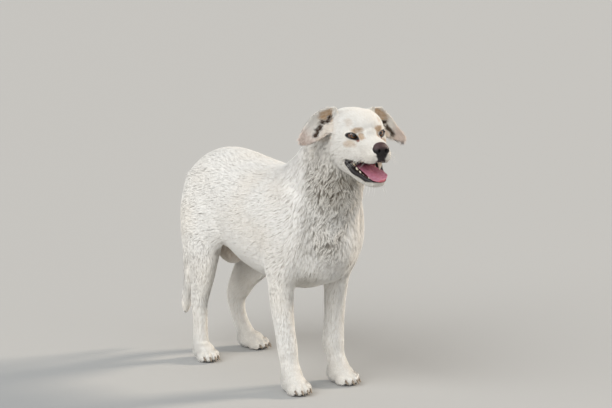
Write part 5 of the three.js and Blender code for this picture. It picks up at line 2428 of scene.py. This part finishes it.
@dataclass
class Mouth:
    """The teeth, gums and tongue."""

    head: Head
    cheek_depth: float = 3.9  # half depth past which a short tooth is a broad cheek tooth
    cheek_length: float = 12.0
    tongue_sides: int = 28

    def level(self, jaw: Jaw, back: float) -> float:
        """Gives the height of the gum line abreast of a tooth."""
        rows = np.array(sorted(jaw.gum, key=lambda g: g[1]))
        return float(np.interp(back, rows[:, 1], rows[:, 2]))

    def teeth(self, jaw: Jaw, finish: Material) -> None:
        """Makes one row of teeth on its gum.

        Args:
            jaw: The row.
            finish: Its finish.
        """
        parts, crowns = [], []
        half = [(g[0] * FAR_SIDE, *g[1:], 3.4, 3.8, 3.8) for g in jaw.gum]
        other = [(-g[0], *g[1:], 3.4, 3.8, 3.8) for g in jaw.gum[:-1]]
        bar = lathe(Sweep([*other, *reversed(half)], power=2.2, cap=0.8, steps=4).rings(12, (0.7, 0.3)))
        parts.append(bar)
        crowns.append(np.full(len(bar.points), -1.0))
        for s in (-1, 1):
            for out, back, length, wide, deep, lean, splay, *only in jaw.teeth:
                if only and only[0] != s:
                    continue
                base = self.level(jaw, back)
                cheek = deep > self.cheek_depth and length < self.cheek_length
                rows = []
                for share, size in ((-0.1, 1.0), (0.25, 1.04), (0.55, 0.84), (0.8, 0.52), (1.0, 0.16)):
                    blade = size**0.5 if cheek and size < 1 else size
                    reach = deep * blade * (0.8 if cheek and share == 1.0 else 1.0)
                    x = s * (out + splay * share) * (FAR_SIDE if s > 0 else 1.0)
                    y, z = back + lean * share**2, base + jaw.way * length * share
                    rows.append((x, y, z, wide * size, reach, reach))
                tooth = lathe(Sweep(rows, facing=(0, 1, 0), power=2.2, cap=0.5, steps=3).rings(12, (0.6,)))
                crowns.append(np.clip((tooth.points[:, 2] - base) * jaw.way / length, 0, 1))
                parts.append(tooth)
        surface = merge(parts)
        surface.points = self.head.world(surface.points)
        piece = make_piece(f"{jaw.name}_and_gum", surface, finish, {"crown": np.concatenate(crowns)})
        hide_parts(jaw.name)

    def tongue(self) -> None:
        """Makes the tongue with its groove, raised edges and drooping tip."""
        rows = resample(
            [
                # back, height, half width, half thickness, groove, lift on the right, on the left
                (46, -77, 17, 7.0, 1.0, 0.0, 0.0),
                (16, -79, 20.5, 7.0, 2.0, 1.0, 1.0),
                (-14, -84, 21.5, 6.0, 3.0, 1.0, 3.0),
                (-40, -89, 21, 5.4, 3.0, -1.0, 6.0),
                (-57, -93, 20.5, 5.0, 2.2, -3.0, 6.5),
                (-68, -95.5, 19.5, 4.6, 1.4, -3.0, 7.0),
                (-76, -98, 15.5, 4.2, 0.6, -2.0, 6.0),
                (-81, -100.5, 9.0, 3.4, 0.0, -1.0, 3.0),
            ],
            6,
        )
        turn = circle(self.tongue_sides)
        rings, shares = [], []
        for back, up, wide, thick, groove, right, left in rows:
            x = wide * bend(np.cos(turn), 0.8)
            share = x / wide
            z = thick * np.sin(turn) * (1 - 0.35 * share**2) + np.where(share > 0, left, right) * share**2
            z -= np.where(np.sin(turn) > 0, groove * np.exp(-((share / 0.16) ** 2)), 0.0)
            rings.append(np.stack([x, np.full(len(turn), back), up + z], axis=1))
            shares.append(np.abs(share))
        surface = lathe(np.array(rings))
        share = np.concatenate([*shares, [0.0, 0.0]])
        ahead = ease(-surface.points[:, 1], 62, 76)
        edge = ease(share, 0.6, 0.95) * ease(-surface.normals[:, 2], -0.5, 0.3) * ahead
        edge = np.maximum(edge, ease(-surface.points[:, 1], 77, 83) * ease(-surface.normals[:, 2], -0.7, 0.0))
        surface.points = self.head.world(surface.points)
        piece = make_piece("tongue_blade", surface, TongueFinish().material(), {"edge": edge})
        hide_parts("tongue")

    def build(self) -> None:
        """Builds the mouth."""
        enamel = ToothFinish().material()
        for jaw in (UPPER, LOWER):
            self.teeth(jaw, enamel)
        self.tongue()


@dataclass
class Claws:
    """The sixteen claws as one piece."""

    dog: Anatomy
    # The curve of a claw from its toe: back, up and half size.
    path: tuple = ((-12, 16, 3.2), (-18, 15.2, 3.1), (-24, 11.5, 2.5), (-28.5, 7.2, 1.2))

    def build(self) -> None:
        """Builds the claws."""
        parts, along = [], []
        for paw in self.dog.paws.values():
            for across, ahead, _ in TOES:
                rows = [(*paw.point(across, ahead + y, up), r * 0.85, r, r) for y, up, r in self.path]
                claw = lathe(Sweep(rows, facing=(0, -0.3, 1), power=2.0, cap=0.6, steps=4).rings(12, (0.5,)))
                parts.append(claw)
                along.append(np.linspace(0, 1, len(claw.points)))
        piece = make_piece("claws", merge(parts), ClawFinish().material(), {"along": np.concatenate(along)})
        names = [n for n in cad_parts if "_claw_" in n]
        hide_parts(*names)


@dataclass
class Whiskers:
    """Fine pale whiskers on the muzzle and chin."""

    head: Head
    seed: int = 5

    def build(self) -> None:
        """Builds the whiskers."""
        rng = np.random.default_rng(self.seed)
        parts = []
        for s in (-1, 1):
            for row in range(3):
                for column in range(5):
                    start = np.array([s * (27 + 2.0 * column), -62 + 9.0 * column, -36.0 - 6.0 * row])
                    way = np.array([s * 1.0, -0.25 + 0.28 * column, -0.28 - 0.12 * row])
                    way = unit(way + rng.normal(size=3) * 0.08)
                    parts.append(self.hair(start, way, rng.uniform(26, 44)))
            for i in range(4):
                start = np.array([s * (8 + 4.0 * i), -58 + 6.0 * i, -118.0])
                way = unit(np.array([s * 0.4, -0.5, -0.8]) + rng.normal(size=3) * 0.12)
                parts.append(self.hair(start, way, rng.uniform(14, 24)))
        surface = merge(parts)
        surface.points = self.head.world(surface.points)
        values = {key: np.zeros(len(surface.points)) for key in (*COAT_MARKS, "fleck")}
        values["along"] = np.ones(len(surface.points))
        piece = make_piece("whiskers", surface, CoatFinish("whisker hair").material(), values)

    def hair(self, start: Array, way: Array, length: float) -> Surface:
        """Gives one tapered hair that droops a little.

        Args:
            start: Its root.
            way: Its direction.
            length: Its length.

        Returns:
            The hair.
        """
        t = np.linspace(0, 1, 7)[:, None]
        droop = np.array([0.0, 0.35, -0.25]) * length
        line = start + way * length * t + droop * t**2
        rows = [(*p, r, r, r) for p, r in zip(line, 0.3 * (1 - 0.75 * t[:, 0]))]
        sweep = Sweep(rows, facing=(0.1, 0.2, 1), power=2.0, cap=1.0, steps=1)
        sweep.size = np.array([row[3:6] for row in rows])
        return lathe(sweep.rings(4))


@dataclass
class Studio:
    """The camera, the floor and soft light."""

    azimuth: float = -33.0
    elevation: float = 9.8
    target: tuple[float, float, float] = (114.0, 200.0, 419.0)
    away: float = 6000.0
    lens: float = 2340.0 / 612.0 * 36.0
    floor_size: float = 60.0

    def camera(self) -> None:
        """Places the camera."""
        data = bpy.data.cameras.new("camera")
        data.lens = self.lens
        data.sensor_width = 36.0
        data.clip_end = 200.0
        camera = bpy.data.objects.new("camera", data)
        a, e = math.radians(self.azimuth), math.radians(self.elevation)
        back = np.array([math.sin(a) * math.cos(e), -math.cos(a) * math.cos(e), math.sin(e)])
        aim = (np.array(self.target) - FLOOR_POINT) * MM
        camera.location = aim + back * self.away * MM
        camera.rotation_euler = Vector(-back).to_track_quat("-Z", "Y").to_euler()
        bpy.context.scene.collection.objects.link(camera)
        bpy.context.scene.camera = camera

    def floor(self) -> None:
        """Makes a floor wide enough to fill the view."""
        size = self.floor_size
        mesh = bpy.data.meshes.new("floor")
        corners = [(-size, -size, 0), (size, -size, 0), (size, size, 0), (-size, size, 0)]
        mesh.from_pydata(corners, [], [(0, 1, 2, 3)])
        mesh.materials.append(FloorFinish().material())
        floor = bpy.data.objects.new("floor", mesh)
        bpy.context.scene.collection.objects.link(floor)

    def light(
        self, name: str, azimuth: float, elevation: float, spread: float, power: float, colour: Colour
    ) -> None:
        """Adds one soft far lamp.

        Args:
            name: The lamp's name.
            azimuth: Degrees round from the dog's front toward its left.
            elevation: Degrees above the floor.
            spread: How wide the lamp looks from the dog, in degrees.
            power: Its strength.
            colour: Its colour.
        """
        data = bpy.data.lights.new(name, "SUN")
        data.angle = math.radians(spread)
        data.energy = power
        data.color = colour
        lamp = bpy.data.objects.new(name, data)
        a, e = math.radians(azimuth), math.radians(elevation)
        toward = Vector((math.sin(a) * math.cos(e), -math.cos(a) * math.cos(e), math.sin(e)))
        lamp.rotation_euler = (-toward).to_track_quat("-Z", "Y").to_euler()
        bpy.context.scene.collection.objects.link(lamp)

    def lights(self) -> None:
        """Lights the dog with a soft key, a fill and a warm light from behind."""
        self.light("key", -78.0, 40.0, 50.0, 2.3, (1.0, 0.99, 0.97))
        self.light("fill", -10.0, 30.0, 70.0, 0.45, (0.92, 0.96, 1.0))
        self.light("glint", -40.0, 22.0, 16.0, 0.2, (1.0, 1.0, 1.0))
        self.light("back", 82.0, 25.0, 12.0, 2.8, (1.0, 0.87, 0.72))
        world = bpy.data.worlds.new("studio")
        world.use_nodes = True
        background = world.node_tree.nodes["Background"]
        background.inputs["Color"].default_value = (0.84, 0.88, 0.93, 1.0)
        background.inputs["Strength"].default_value = 0.42
        bpy.context.scene.world = world
        bpy.context.scene.view_settings.view_transform = "Standard"


# ---------------- building


def corners(box: Sequence) -> list[list[float]]:
    """Gives a box as plain lists of numbers."""
    return [[float(v) for v in corner] for corner in box]


def main() -> None:
    """Builds the studio, the features, the skin, the coat and the whiskers, in that order."""
    logging.basicConfig(level=logging.INFO, format="%(message)s")
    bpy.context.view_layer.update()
    studio = Studio()
    studio.camera()
    studio.floor()
    studio.lights()
    dog = Anatomy()
    marks = Marks(dog)
    EyePair(dog.head).build()
    Nose(dog.head).build()
    Mouth(dog.head).build()
    Claws(dog).build()
    skin = Hide(dog, marks).build()
    Coat(dog, marks).build(skin)
    Whiskers(dog.head).build()


if __name__ == "__main__":
    main()
